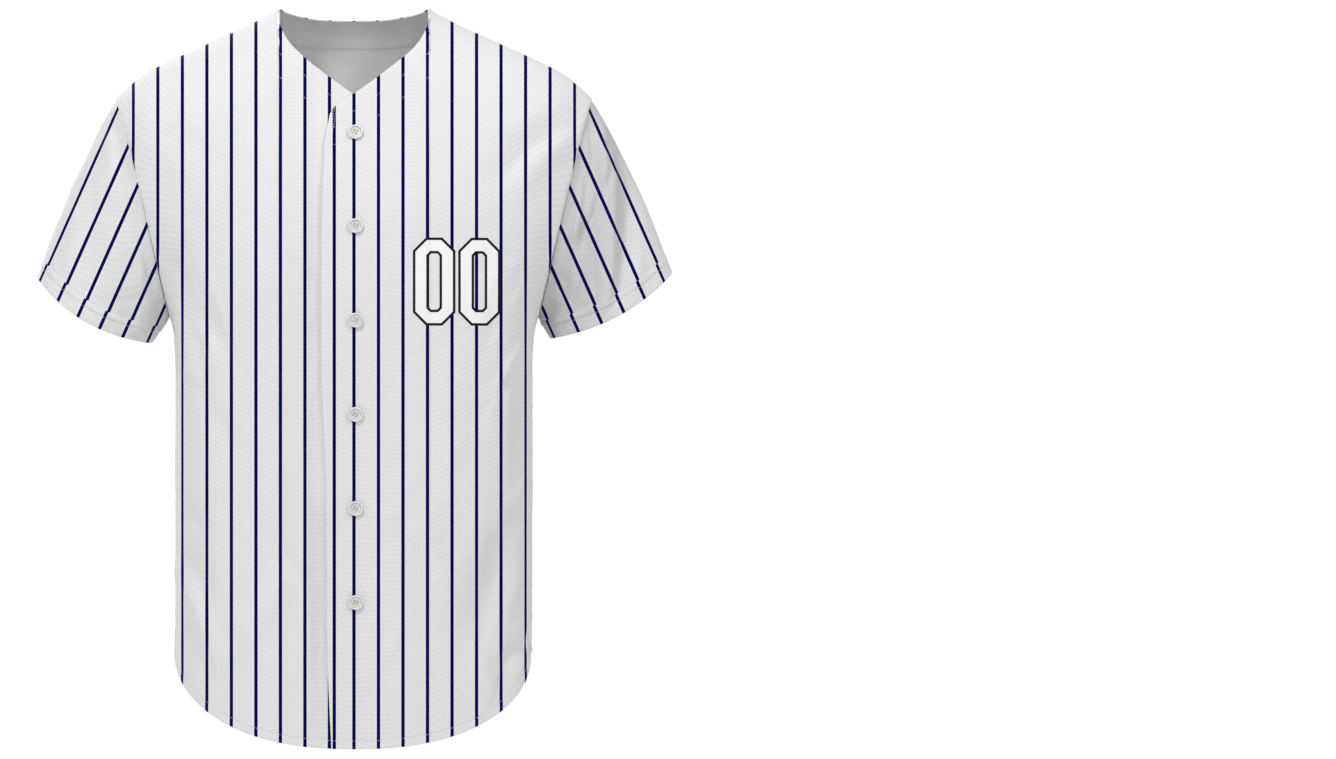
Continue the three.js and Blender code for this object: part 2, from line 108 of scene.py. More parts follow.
def curve_through(rows: Array, at: Array) -> Array:
    """Read a table of places by a smooth curve through its rows.

    The curve is a cubic in each step, whose slope at a row is half the difference of its
    neighbours (Catmull-Rom).

    Args:
        rows: Table, rows by columns.
        at: Row numbers, fractions included.

    Returns:
        The table's columns at each of those rows.
    """
    padded = np.vstack([2 * rows[0] - rows[1], rows, 2 * rows[-1] - rows[-2]])
    i = np.clip(np.floor(at).astype(int), 0, len(rows) - 2)
    t = (at - i)[..., None]
    a, b, c, d = padded[i], padded[i + 1], padded[i + 2], padded[i + 3]
    square = 2 * a - 5 * b + 4 * c - d
    cube = 3 * (b - c) + d - a
    return 0.5 * (2 * b + (c - a) * t + square * t**2 + cube * t**3)


def fine_ended(length: float, step: float, ends: tuple[float, ...]) -> Array:
    """Return places along a length at an even step, with closer ones near both ends."""
    count = max(2, int(round((length - 2 * ends[-1]) / step)))
    middle = np.linspace(ends[-1], length - ends[-1], count + 1)
    first = np.array(ends[:-1])
    return np.concatenate([first, middle, length - first[::-1]])


def bell(value: Array, at: float, width: float) -> Array:
    """Return a bell of value: exp of minus its squared distance from at, over width."""
    return np.exp(-(((value - at) / width) ** 2))


def closed_line(line: Array) -> Array:
    """Return the line with its first row again at its end."""
    return np.vstack([line, line[:1]])


def distance_to_line(points: Array, line: Array) -> Array:
    """Return each point's distance to a bent line, over all of its straight parts."""
    flat = points.reshape(-1, 3)
    best = np.full(len(flat), np.inf)
    for a, b in zip(line[:-1], line[1:]):
        run = b - a
        t = np.clip((flat - a) @ run / max(float(run @ run), 1e-12), 0.0, 1.0)
        best = np.minimum(best, np.linalg.norm(flat - a - t[:, None] * run, axis=1))
    return best.reshape(points.shape[:-1])


def distance_to_nearest(points: Array, lines: list[Array]) -> Array:
    """Return each point's distance to the nearest of several bent lines."""
    return np.min([distance_to_line(points, line) for line in lines], axis=0)


@dataclass(frozen=True)
class BodyOutline:
    """The body's outline from the front and its depth, by the same rules as the CAD."""

    neck_half: float = 77.0
    shoulder_slope: float = 0.453
    shoulder_drop: float = 3.8
    shoulder_drop_length: float = 12.0
    bend_from: float = 200.0
    bend: float = 0.0065
    tip_x: float = 247.0
    armpit_x: float = 190.0
    armpit_z: float = -321.0
    armhole_lean: float = 0.85
    side_half: float = 184.3
    flare: float = 15.0
    side_hem_z: float = -665.0
    hem_z: float = -758.5
    hem_power: float = 2.25
    armhole_depth: float = 60.0
    shoulder_round: float = 90.0
    side_power: float = 3.0
    armhole_power: float = 2.5
    armhole_rows: float = 15.0
    side_rows: float = 12.0
    shoulder_columns: float = 12.0
    depth_z: tuple[float, ...] = (0, -60, -90, -150, -210, -300, -420, -560, -700, -770)
    depth_front: tuple[float, ...] = (72, 82, 89, 103, 112, 115, 110, 107, 108, 108)
    depth_back: tuple[float, ...] = (101, 104, 106, 110, 114, 112, 99, 98, 104, 106)
    depth_softness: float = 16.0

    @property
    def rows(self) -> float:
        """Return the number of rows from the shoulder to the hem."""
        return self.armhole_rows + self.side_rows

    @property
    def tip_z(self) -> float:
        """Return the height of the shoulder tip."""
        return float(self.shoulder_height(np.array(self.tip_x)))

    def shoulder_height(self, x: Array) -> Array:
        """Return the shoulder line's height, carried on over the neck as a low arch."""
        x = np.abs(x)
        out = np.maximum(x - self.neck_half, 0.0)
        bend = np.maximum(x - self.bend_from, 0.0)
        start = self.shoulder_drop * (1 - np.exp(-out / self.shoulder_drop_length))
        line = -self.shoulder_slope * out - start - self.bend * bend * bend
        share = np.minimum(x / self.neck_half, 1.0)
        arch = self.shoulder_slope * self.neck_half * (1 - share**2) / 2
        return np.where(x < self.neck_half, arch, line)

    def hem_height(self, x: Array) -> Array:
        """Return the shirt-tail hem's height: nearly half an ellipse across."""
        share = np.minimum(1.0, np.abs(x) / self.side_half) ** self.hem_power
        return lerp(self.side_hem_z, self.hem_z, np.sqrt(1 - share))

    def outer_edge(self, row: Array) -> Fields:
        """Return the outer edge: round the armhole from the tip, then down the side seam.

        Round the armhole the height falls as half a cosine wave and the depth is a sine;
        the side seam runs straight down from the armpit with a short flare.
        """
        turn = np.pi * np.minimum(row / self.armhole_rows, 1.0)
        down = (1 - np.cos(turn)) / 2
        hole_x = self.tip_x - (self.tip_x - self.armpit_x) * down**self.armhole_lean
        hole_z = lerp(self.tip_z, self.armpit_z, down)
        middle = smooth(2 * down) * smooth(2 - 2 * down)
        below = np.maximum(row - self.armhole_rows, 0.0) / self.side_rows
        side_z = lerp(self.armpit_z, self.side_hem_z, below)
        flare = np.exp((side_z - self.armpit_z) / self.flare)
        side_x = self.side_half + (self.armpit_x - self.side_half) * flare
        on_side = row > self.armhole_rows
        return {
            "x": np.where(on_side, side_x, hole_x),
            "z": np.where(on_side, side_z, hole_z),
            "depth": np.where(on_side, 0.0, self.armhole_depth * np.sin(turn)),
            "power": np.where(
                on_side, self.side_power, lerp(self.side_power, self.armhole_power, middle)
            ),
        }

    def full_depth(self, face: Face, z: Array) -> Array:
        """Return the depth at the middle of the body: the table, softened at its corners."""
        table = self.depth_front if face is Face.FRONT else self.depth_back
        heights = np.linspace(-840.0, 70.0, 911)
        straight = np.interp(heights, self.depth_z[::-1], table[::-1])
        reach = np.arange(-60, 61)
        weight = np.exp(-((reach / self.depth_softness) ** 2) / 2)
        soft = np.convolve(np.pad(straight, 60, mode="edge"), weight / weight.sum(), "valid")
        return np.interp(z, heights, soft)

    def body_depth(self, face: Face, x: Array, z: Array, edge: Fields) -> Array:
        """Return how far the body stands out from its middle plane.

        Each row is part of a rounded oblong, wide enough to meet the row's outer edge at
        that edge's depth, and the top rounds over to the shoulder line as a quarter circle.
        """
        below = np.clip((self.shoulder_height(x) - z) / self.shoulder_round, 0.0, 1.0)
        full = self.full_depth(face, z) * np.sqrt(1 - (1 - below) ** 2)
        power = edge["power"]
        at_edge = np.minimum(1.0, edge["depth"] / np.maximum(full, 1e-6)) ** power
        share = np.minimum(1.0, np.abs(x) / edge["x"]) ** power
        return full * np.maximum(1 - share * (1 - at_edge), 0.0) ** (1 / power)

    def hem_share(self, column: Array) -> Array:
        """Return how far across the hem a shoulder column ends, at even steps of cloth."""
        turn = np.linspace(0, np.pi / 2, 4001)
        depth = float(self.full_depth(Face.FRONT, np.array(self.hem_z)))
        x = self.side_half * np.sin(turn) ** (2 / self.side_power)
        y = depth * np.cos(turn) ** (2 / self.side_power)
        along = np.concatenate([[0.0], np.cumsum(np.hypot(np.diff(x), np.diff(y)))])
        start = np.interp(self.neck_half, x, along)
        wanted = lerp(start, along[-1], column / self.shoulder_columns)
        return (np.interp(wanted, along, x) - self.neck_half) / (self.side_half - self.neck_half)


@dataclass(frozen=True)
class Fold:
    """A soft crease seen from the front, from one place to another.

    rise is how far its middle stands out, below zero for a trough; bow bends it sideways,
    lean makes one flank steeper, and hat is how much its foot dips beside it, over
    hat_width times its width. Its ends fade over end_share of its length.
    """

    x0: float
    z0: float
    x1: float
    z1: float
    rise: float
    width: float
    bow: float = 0.0
    lean: float = 0.0
    hat: float = 0.25
    hat_width: float = 2.2
    end_share: float = 0.22

    def height(self, x: Array, z: Array) -> Array:
        """Return the crease's rise: a bell across it that fades over its two ends."""
        dx, dz = self.x1 - self.x0, self.z1 - self.z0
        length = float(np.hypot(dx, dz))
        along = ((x - self.x0) * dx + (z - self.z0) * dz) / length
        across = ((x - self.x0) * dz - (z - self.z0) * dx) / length
        t = np.clip(along / length, 0.0, 1.0)
        across = across - self.bow * 4 * t * (1 - t)
        away = across / (self.width * (1 + self.lean * np.tanh(across / self.width)))
        soft = max(self.width, self.end_share * length)
        past = np.maximum(0, np.maximum(-along, along - length)) / soft
        swell = 0.55 + 0.45 * np.sin(np.pi * np.clip(t, 0.02, 0.98))
        across_it = bell(away, 0, 1) - self.hat * bell(away, 0, self.hat_width)
        return self.rise * swell * across_it * bell(past, 0, 1)


@dataclass(frozen=True)
class FoldSpray:
    """A group of uneven creases round one place, set by its seed.

    Each starts near a place, runs off at an angle within a spread, and has its own length,
    width, rise and bow.
    """

    seed: int
    count: int
    x: float
    z: float
    spread_x: float
    spread_z: float
    angle: float
    angle_spread: float
    length: float
    rise: float
    width: float

    def folds(self) -> list[Fold]:
        """Return the group's creases."""
        draw = np.random.default_rng(self.seed)
        made = []
        for _ in range(self.count):
            x = self.x + self.spread_x * draw.uniform(-1, 1)
            z = self.z + self.spread_z * draw.uniform(-1, 1)
            turn = np.radians(self.angle + self.angle_spread * draw.uniform(-1, 1))
            length = self.length * draw.uniform(0.45, 1.35)
            dx, dz = length * np.cos(turn) / 2, length * np.sin(turn) / 2
            rise = self.rise * draw.uniform(0.3, 1.0) * draw.choice([-1, -1, 1])
            width = self.width * draw.uniform(0.6, 1.5)
            bow, lean = draw.uniform(-0.09, 0.09) * length, draw.uniform(-0.5, 0.5)
            made.append(Fold(x - dx, z - dz, x + dx, z + dz, rise, width, bow, lean))
        return made


def soft_relief(x: Array, z: Array, seed: int, across: float, down: float, count: int) -> Array:
    """Return a gentle unevenness of cloth, about 1 at its most.

    It is a sum of sine waves with random directions and phases, whose lengths are near
    across sideways and near down in height.
    """
    draw = np.random.default_rng(seed)
    total = np.zeros(np.broadcast(x, z).shape)
    for _ in range(count):
        a = 2 * np.pi / across * draw.uniform(0.5, 1.5) * draw.choice([-1, 1])
        b = 2 * np.pi / down * draw.uniform(0.5, 1.5)
        total += np.sin(a * x + b * z + draw.uniform(0, 2 * np.pi))
    return total / np.sqrt(count) / 1.6


@dataclass
class Sheet:
    """A grid of cloth: points on its outer side, with what the finishes read from them."""

    points: Array
    outward: Array
    closed: bool = False
    fields: Fields = field(default_factory=dict)

    def __post_init__(self) -> None:
        """Work out the normals as soon as the sheet is made."""
        self.renew_normals()

    def renew_normals(self) -> None:
        """Set each point's normal from the run of the grid, on the side of outward."""
        grid = self.points
        if self.closed:
            grid = np.concatenate([grid[:, -1:], grid, grid[:, :1]], axis=1)
        down = np.gradient(grid, axis=0)
        across = np.gradient(grid, axis=1)
        normals = unit(np.cross(down, across))
        if self.closed:
            normals = normals[:, 1:-1]
        facing = np.sum(normals * self.outward)
        self.normals = normals * (1.0 if facing > 0 else -1.0)

    def move_out(self, rise: Array) -> None:
        """Move each point along its normal by rise, then renew the normals."""
        self.points = self.points + self.normals * rise[..., None]
        self.renew_normals()

    def area(self) -> float:
        """Return the sheet's area in square metres, as the sum of its cells."""
        grid = self.points
        if self.closed:
            grid = np.concatenate([grid, grid[:, :1]], axis=1)
        first = grid[1:, 1:] - grid[:-1, :-1]
        second = grid[1:, :-1] - grid[:-1, 1:]
        return float(np.linalg.norm(np.cross(first, second), axis=-1).sum() / 2) * MM * MM

    def line_where(self, values: Array, level: float) -> tuple[Array, Array]:
        """Find the line across the columns where a field first passes a level.

        Args:
            values: Field on the grid that grows down each column from below the level.
            level: The value to look for.

        Returns:
            The line's points and normals, one for each column that reaches the level.
        """
        over = values > level
        row = np.argmax(over, axis=0)
        column = np.nonzero((row > 0) & over.any(axis=0))[0]
        row = row[column]
        low, high = values[row - 1, column], values[row, column]
        t = ((level - low) / np.maximum(high - low, 1e-9))[:, None]
        points = lerp(self.points[row - 1, column], self.points[row, column], t)
        normals = unit(lerp(self.normals[row - 1, column], self.normals[row, column], t))
        return points, normals


def mesh_object(name: str, points: Array, loops: list[Array], finishes: list) -> bpy.types.Object:
    """Make an object from points in millimetres and faces.

    Args:
        name: Name of the object and its mesh.
        points: Points, in millimetres.
        loops: Arrays of faces, each of one number of corners a face.
        finishes: Materials, in the order of the faces' material numbers.

    Returns:
        The object, linked to the scene, with smooth faces.
    """
    mesh = bpy.data.meshes.new(name)
    mesh.vertices.add(len(points))
    mesh.vertices.foreach_set("co", (points * MM).astype(np.float32).ravel())
    corners = np.concatenate([f.ravel() for f in loops]).astype(np.int32)
    sizes = np.concatenate([np.full(len(f), f.shape[1]) for f in loops])
    starts = np.concatenate([[0], np.cumsum(sizes)[:-1]]).astype(np.int32)
    mesh.loops.add(len(corners))
    mesh.loops.foreach_set("vertex_index", corners)
    mesh.polygons.add(len(sizes))
    mesh.polygons.foreach_set("loop_start", starts)
    mesh.update(calc_edges=True)
    mesh.polygons.foreach_set("use_smooth", np.ones(len(sizes), bool))
    for finish in finishes:
        mesh.materials.append(finish)
    made = bpy.data.objects.new(name, mesh)
    bpy.context.scene.collection.objects.link(made)
    return made


def signed_volume(points: Array, quads: Array) -> float:
    """Return the volume that quads close in, below zero where they face inwards."""
    a, b, c, d = (points[quads[:, n]] for n in range(4))
    halves = np.cross(a, b) * c + np.cross(a, c) * d
    return float(halves.sum() / 6)


def ring_quads(rings: int, sides: int) -> tuple[Array, Array]:
    """Return the point numbers of closed rings, first column repeated, and their quads."""
    number = np.arange(rings * sides).reshape(rings, sides)
    wide = np.concatenate([number, number[:, :1]], axis=1)
    quads = np.stack([wide[:-1, :-1], wide[1:, :-1], wide[1:, 1:], wide[:-1, 1:]], axis=-1)
    return wide, quads.reshape(-1, 4)


def ring_fan(middle: int, ring: Array) -> Array:
    """Return the triangles between a middle point and each side of a ring."""
    return np.stack([np.full(len(ring) - 1, middle), ring[:-1], ring[1:]], axis=1)


@dataclass(frozen=True)
class ClothWall:
    """How a sheet of cloth becomes a thin closed wall with rounded edges."""

    thickness: float = 1.1
    below: float = 0.0
    edge_round: float = 0.45
    lip_rows: int = 0

    def build(self, name: str, sheet: Sheet, finishes: list) -> bpy.types.Object:
        """Build the wall: an outer grid, an inner one under it, and a rounded rim between.

        Args:
            name: Name of the object.
            sheet: The cloth.
            finishes: The material of the outer side and rim, then of the inner side.

        Returns:
            The wall's object, with the sheet's fields as attributes of its points.
        """
        rows, columns = sheet.points.shape[:2]
        outer = (sheet.points - sheet.normals * self.below).reshape(-1, 3)
        inner = outer - sheet.normals.reshape(-1, 3) * self.thickness
        number = np.arange(rows * columns).reshape(rows, columns)
        wide = np.concatenate([number, number[:, :1]], axis=1) if sheet.closed else number
        grid = np.stack([wide[:-1, :-1], wide[:-1, 1:], wide[1:, 1:], wide[1:, :-1]], axis=-1)
        grid = grid.reshape(-1, 4)
        count = rows * columns
        if sheet.closed:
            loops = [number[0], number[-1, ::-1]]
        else:
            around = [number[0], number[1:, -1], number[-1, -2::-1], number[-2:0:-1, 0]]
            loops = [np.concatenate(around)]
        points, source, faces = [outer, inner], [np.arange(count)] * 2, [grid]
        inside = grid[:, ::-1] + count
        start = 2 * count
        for loop in loops:
            middle = (outer[loop] + inner[loop]) / 2
            run = unit(np.roll(outer[loop], -1, axis=0) - np.roll(outer[loop], 1, axis=0))
            away = unit(np.cross(run, sheet.normals.reshape(-1, 3)[loop]))
            towards = self.inward(sheet, loop)
            away = away * np.where(np.sum(away * towards, axis=1, keepdims=True) > 0, -1, 1)
            points.append(middle + away * self.edge_round)
            source.append(loop)
            rim = start + np.arange(len(loop))
            after, rim_after = np.roll(loop, -1), np.roll(rim, -1)
            faces.append(np.stack([after, loop, rim, rim_after], axis=1))
            faces.append(np.stack([rim_after, rim, loop + count, after + count], axis=1))
            start += len(loop)
        places, origin = np.concatenate(points), np.concatenate(source)
        outside = np.concatenate(faces)
        if signed_volume(places, np.concatenate([outside, inside])) < 0:
            outside, inside = outside[:, ::-1], inside[:, ::-1]
        made = mesh_object(name, places, [outside, inside], finishes)
        beyond_lip = np.arange(len(inside)) // (wide.shape[1] - 1) >= self.lip_rows
        side = np.concatenate([np.zeros(len(outside)), beyond_lip])
        made.data.polygons.foreach_set("material_index", side.astype(np.int32))
        self.write_fields(made.data, sheet, origin)
        return made

    def inward(self, sheet: Sheet, loop: Array) -> Array:
        """Return the direction from each edge point towards the middle of the sheet."""
        flat = sheet.points.reshape(-1, 3)
        rows, columns = sheet.points.shape[:2]
        row, column = loop // columns, loop % columns
        next_row = np.clip(row, 1, rows - 2)
        next_column = column if sheet.closed else np.clip(column, 1, columns - 2)
        return flat[next_row * columns + next_column] - flat[loop]

    def write_fields(self, mesh: bpy.types.Mesh, sheet: Sheet, origin: Array) -> None:
        """Write the sheet's fields on the mesh; u and v become its UV map, in metres."""
        corner = np.zeros(len(mesh.loops), np.int32)
        mesh.loops.foreach_get("vertex_index", corner)
        fields = {name: f.reshape(-1)[origin] for name, f in sheet.fields.items()}
        pair = np.stack([fields.pop("u"), fields.pop("v")], axis=1) * MM
        mesh.uv_layers.new(name="cloth").data.foreach_set(
            "uv", pair[corner].astype(np.float32).ravel()
        )
        for name, values in fields.items():
            attribute = mesh.attributes.new(name, "FLOAT", "POINT")
            attribute.data.foreach_set("value", values.astype(np.float32))


@dataclass(frozen=True)
class StitchMaker:
    """Sewing thread: rows of short rounded stitches that dip into the cloth at their ends."""

    pitch: float = 2.9
    length: float = 2.1
    radius: float = 0.17
    sides: int = 6
    shape_along: tuple[float, ...] = (-0.5, -0.38, 0.0, 0.38, 0.5)
    shape_radius: tuple[float, ...] = (0.35, 0.85, 1.0, 0.85, 0.35)
    shape_height: tuple[float, ...] = (-0.26, -0.02, 0.05, -0.02, -0.26)

    def row(self, points: Array, normals: Array, start: float = 0.0) -> tuple[Array, Array]:
        """Lay stitches along a line: a tube of six sides on a short arc, once a pitch.

        Args:
            points: The line, in millimetres.
            normals: The cloth's normals along it.
            start: How far along it the first stitch is.

        Returns:
            Points and quads of all the stitches.
        """
        step = np.linalg.norm(np.diff(points, axis=0), axis=1)
        along = np.concatenate([[0.0], np.cumsum(step)])
        middles = np.arange(start + self.pitch / 2, along[-1] - self.pitch / 2, self.pitch)
        rings, sides = len(self.shape_along), self.sides
        at = middles[:, None] + np.array(self.shape_along)[None, :] * self.length
        place = np.stack([np.interp(at, along, points[:, n]) for n in range(3)], axis=-1)
        up = unit(np.stack([np.interp(at, along, normals[:, n]) for n in range(3)], axis=-1))
        run = unit(place[:, -1:] - place[:, :1])
        cross = unit(np.cross(run, up))
        turn = np.linspace(0, 2 * np.pi, sides, endpoint=False)
        size = (np.array(self.shape_radius) * self.radius)[None, :, None, None]
        lift = np.array(self.shape_height)[None, :, None, None]
        circle = cross[:, :, None] * np.cos(turn)[None, None, :, None]
        circle = circle + up[:, :, None] * np.sin(turn)[None, None, :, None]
        tube = place[:, :, None] + up[:, :, None] * lift + circle * size
        ring = np.arange(sides)
        after = np.roll(ring, -1)
        rows = (np.arange(rings - 1) * sides)[:, None]
        body = np.stack([rows + ring, rows + after, rows + sides + after, rows + sides + ring], -1)
        last = (rings - 1) * sides
        caps = np.array([[3, 2, 1, 0], [5, 4, 3, 0], [0, 1, 2, 3], [0, 3, 4, 5]])
        caps = caps + np.array([[0], [0], [last], [last]])
        one = np.concatenate([body.reshape(-1, 4), caps])
        offsets = (np.arange(len(middles)) * rings * sides)[:, None, None]
        return tube.reshape(-1, 3), (one[None] + offsets).reshape(-1, 4)

    def build(self, name: str, rows: list, finish: bpy.types.Material) -> bpy.types.Object:
        """Build one object from several lines, each a pair of points and normals."""
        made, start, faces = [], 0, []
        for points, normals in rows:
            if len(points) < 2:
                continue
            places, quads = self.row(points, normals)
            made.append(places)
            faces.append(quads + start)
            start += len(places)
        return mesh_object(name, np.concatenate(made), [np.concatenate(faces)], [finish])


class Nodes:
    """Adds nodes to a tree and links them, so that a finish reads as a short list of steps."""

    def __init__(self, tree: bpy.types.NodeTree) -> None:
        """Keep the tree that nodes are added to."""
        self.tree = tree
        self.count = 0

    def add(self, kind: str, inputs: dict | None = None, **settings: object) -> bpy.types.Node:
        """Add a node.

        Args:
            kind: Blender's name of the node type.
            inputs: Values or sockets, by input name or number.
            settings: Properties of the node.

        Returns:
            The node.
        """
        node = self.tree.nodes.new(kind)
        node.location = (200 * (self.count % 12), -220 * (self.count // 12))
        self.count += 1
        for name, value in settings.items():
            setattr(node, name, value)
        for key, value in (inputs or {}).items():
            self.put(node.inputs[key], value)
        return node

    def put(self, socket: bpy.types.NodeSocket, value: object) -> None:
        """Link a socket to another one, or set its value."""
        if isinstance(value, bpy.types.NodeSocket):
            self.tree.links.new(value, socket)
        else:
            socket.default_value = value

    def math(self, kind: str, *values: object, clamp: bool = False) -> Socket:
        """Add a Math node and return its output."""
        node = self.add("ShaderNodeMath", dict(enumerate(values)), operation=kind, use_clamp=clamp)
        return node.outputs[0]

    def vector(self, kind: str, output: str, inputs: dict) -> Socket:
        """Add a Vector Math node and return one of its outputs."""
        return self.add("ShaderNodeVectorMath", inputs, operation=kind).outputs[output]

    def parts(self, place: object) -> Sockets:
        """Return the three parts of a place, by the names X, Y and Z."""
        return self.add("ShaderNodeSeparateXYZ", {0: place}).outputs

    def noise(self, place: object, scale: float, detail: float, **more: float) -> Socket:
        """Return the value of a noise at a place."""
        inputs = {"Vector": place, "Scale": scale, "Detail": detail, **more}
        return self.add("ShaderNodeTexNoise", inputs).outputs["Fac"]

    def step(self, value: object, low: float, high: float) -> Socket:
        """Return a soft step of value, from 0 at low to 1 at high."""
        inputs = {"Value": value, "From Min": low, "From Max": high}
        node = self.add("ShaderNodeMapRange", inputs, interpolation_type="SMOOTHSTEP")
        return node.outputs["Result"]

    def mix(self, share: object, a: object, b: object) -> Socket:
        """Return colour a mixed with colour b by share."""
        return self.add("ShaderNodeMix", {0: share, 6: a, 7: b}, data_type="RGBA").outputs[2]

    def attribute(self, name: str) -> Socket:
        """Return the number that an attribute of the mesh holds."""
        return self.add("ShaderNodeAttribute", attribute_name=name).outputs["Fac"]

    def group(self, tree: bpy.types.NodeTree, inputs: dict) -> Sockets:
        """Add a node group and return its outputs."""
        return self.add("ShaderNodeGroup", inputs, node_tree=tree).outputs

    def bump(self, shader: bpy.types.Node, height: object, distance: float, share: float) -> None:
        """Give a shader the bump of a height, where 1 stands for distance in metres."""
        inputs = {"Height": height, "Distance": distance, "Strength": share}
        self.put(shader.inputs["Normal"], self.add("ShaderNodeBump", inputs).outputs[0])


def new_group(name: str, inputs: dict[str, object], outputs: tuple[str, ...]) -> tuple:
    """Make a shader node group.

    Args:
        name: The group's name.
        inputs: Name and default value of each input; a tuple of three is a vector.
        outputs: Name of each output, a number.

    Returns:
        The group, its nodes, its inputs and the node that takes its outputs.
    """
    group = bpy.data.node_groups.new(name, "ShaderNodeTree")
    for label, value in inputs.items():
        kind = "NodeSocketVector" if isinstance(value, tuple) else "NodeSocketFloat"
        socket = group.interface.new_socket(label, in_out="INPUT", socket_type=kind)
        socket.default_value = value
    for label in outputs:
        group.interface.new_socket(label, in_out="OUTPUT", socket_type="NodeSocketFloat")
    nodes = Nodes(group)
    source = nodes.add("NodeGroupInput").outputs
    return group, nodes, source, nodes.add("NodeGroupOutput").inputs


def weave_group() -> bpy.types.NodeTree:
    """Make the group for knitted mesh: diagonal rows of pin dots.

    The dots are half of 1 plus cos(u) times cos(v), and the height is a fine noise less them.
    """
    group, n, source, out = new_group(
        "pin_dot_mesh", {"Cloth": (0.0, 0.0, 0.0), "Pitch": 0.0046}, ("Height", "Dots", "Fuzz")
    )
    wave = n.math("DIVIDE", 2 * np.pi, source["Pitch"])
    parts = n.parts(source["Cloth"])
    u, v = (n.math("COSINE", n.math("MULTIPLY", parts[axis], wave)) for axis in "XY")
    dots = n.math("MULTIPLY_ADD", n.math("MULTIPLY", u, v), 0.5, 0.5)
    fuzz = n.noise(source["Cloth"], 420.0, 3.0)
    n.put(out["Height"], n.math("SUBTRACT", n.math("MULTIPLY", fuzz, 0.35), dots))
    n.put(out["Dots"], dots)
    n.put(out["Fuzz"], fuzz)
    return group


def stripe_group() -> bpy.types.NodeTree:
    """Make the group for stripes: a mask of lines at whole numbers, with a pale halo.

    The distance to the nearest line is the fraction part's distance from 0, times the
    spacing in millimetres.
    """
    group, n, source, out = new_group(
        "thin_stripes",
        {"Number": 0.0, "Spacing": 25.1, "Half Width": 1.8, "Halo": 1.5},
        ("Stripe", "Halo"),
    )
    shifted = n.math("ADD", source["Number"], 0.5)
    away = n.math("ABSOLUTE", n.math("SUBTRACT", n.math("FRACT", shifted), 0.5))
    distance = n.math("SUBTRACT", n.math("MULTIPLY", away, source["Spacing"]), source["Half Width"])
    stripe = n.math("SUBTRACT", 0.5, n.math("DIVIDE", distance, 0.3), clamp=True)
    near = n.math("SUBTRACT", 1.0, n.math("DIVIDE", distance, source["Halo"]), clamp=True)
    n.put(out["Stripe"], stripe)
    n.put(out["Halo"], n.math("MULTIPLY", near, n.math("SUBTRACT", 1.0, stripe)))
    return group


def groove_group() -> bpy.types.NodeTree:
    """Make the group for a sewn line: a groove, which is a bell of the distance to it."""
    inputs = {"Distance": 0.0, "At": 8.0, "Width": 0.8}
    group, n, source, out = new_group("sewn_line", inputs, ("Groove",))
    away = n.math("DIVIDE", n.math("SUBTRACT", source["Distance"], source["At"]), source["Width"])
    square = n.math("MULTIPLY", n.math("MULTIPLY", away, away), -1.0)
    n.put(out["Groove"], n.math("EXPONENT", square))
    return group


def tone_group() -> bpy.types.NodeTree:
    """Make the group for uneven cloth: slow patches of tone with a grain, and rumples."""
    inputs = {"Place": (0.0, 0.0, 0.0), "Amount": 0.03}
    group, n, source, out = new_group("cloth_tone", inputs, ("Tone", "Rumple"))
    patch = n.math("MULTIPLY", n.noise(source["Place"], 9.0, 3.0), 0.6)
    grain = n.math("MULTIPLY", n.noise(source["Place"], 260.0, 2.0), 0.4)
    both = n.math("SUBTRACT", n.math("ADD", patch, grain), 0.5)
    change = n.math("MULTIPLY", both, source["Amount"])
    n.put(out["Tone"], n.math("ADD", 1.0, n.math("MULTIPLY", change, 2.0)))
    n.put(out["Rumple"], n.noise(source["Place"], 34.0, 3.0))
    return group


@dataclass(frozen=True)
class NumberPlace:
    """Where a plain number stands on a panel, and how large it is, in millimetres."""

    x: float
    z: float
    apart: float
    half_width: float
    half_height: float
    stroke: float
    outline: float = 2.6

    def inputs(self) -> dict[str, float]:
        """Return the sizes in metres by the names of the number group's inputs."""
        return dict(zip(NUMBER_INPUTS, (size * MM for size in astuple(self))))


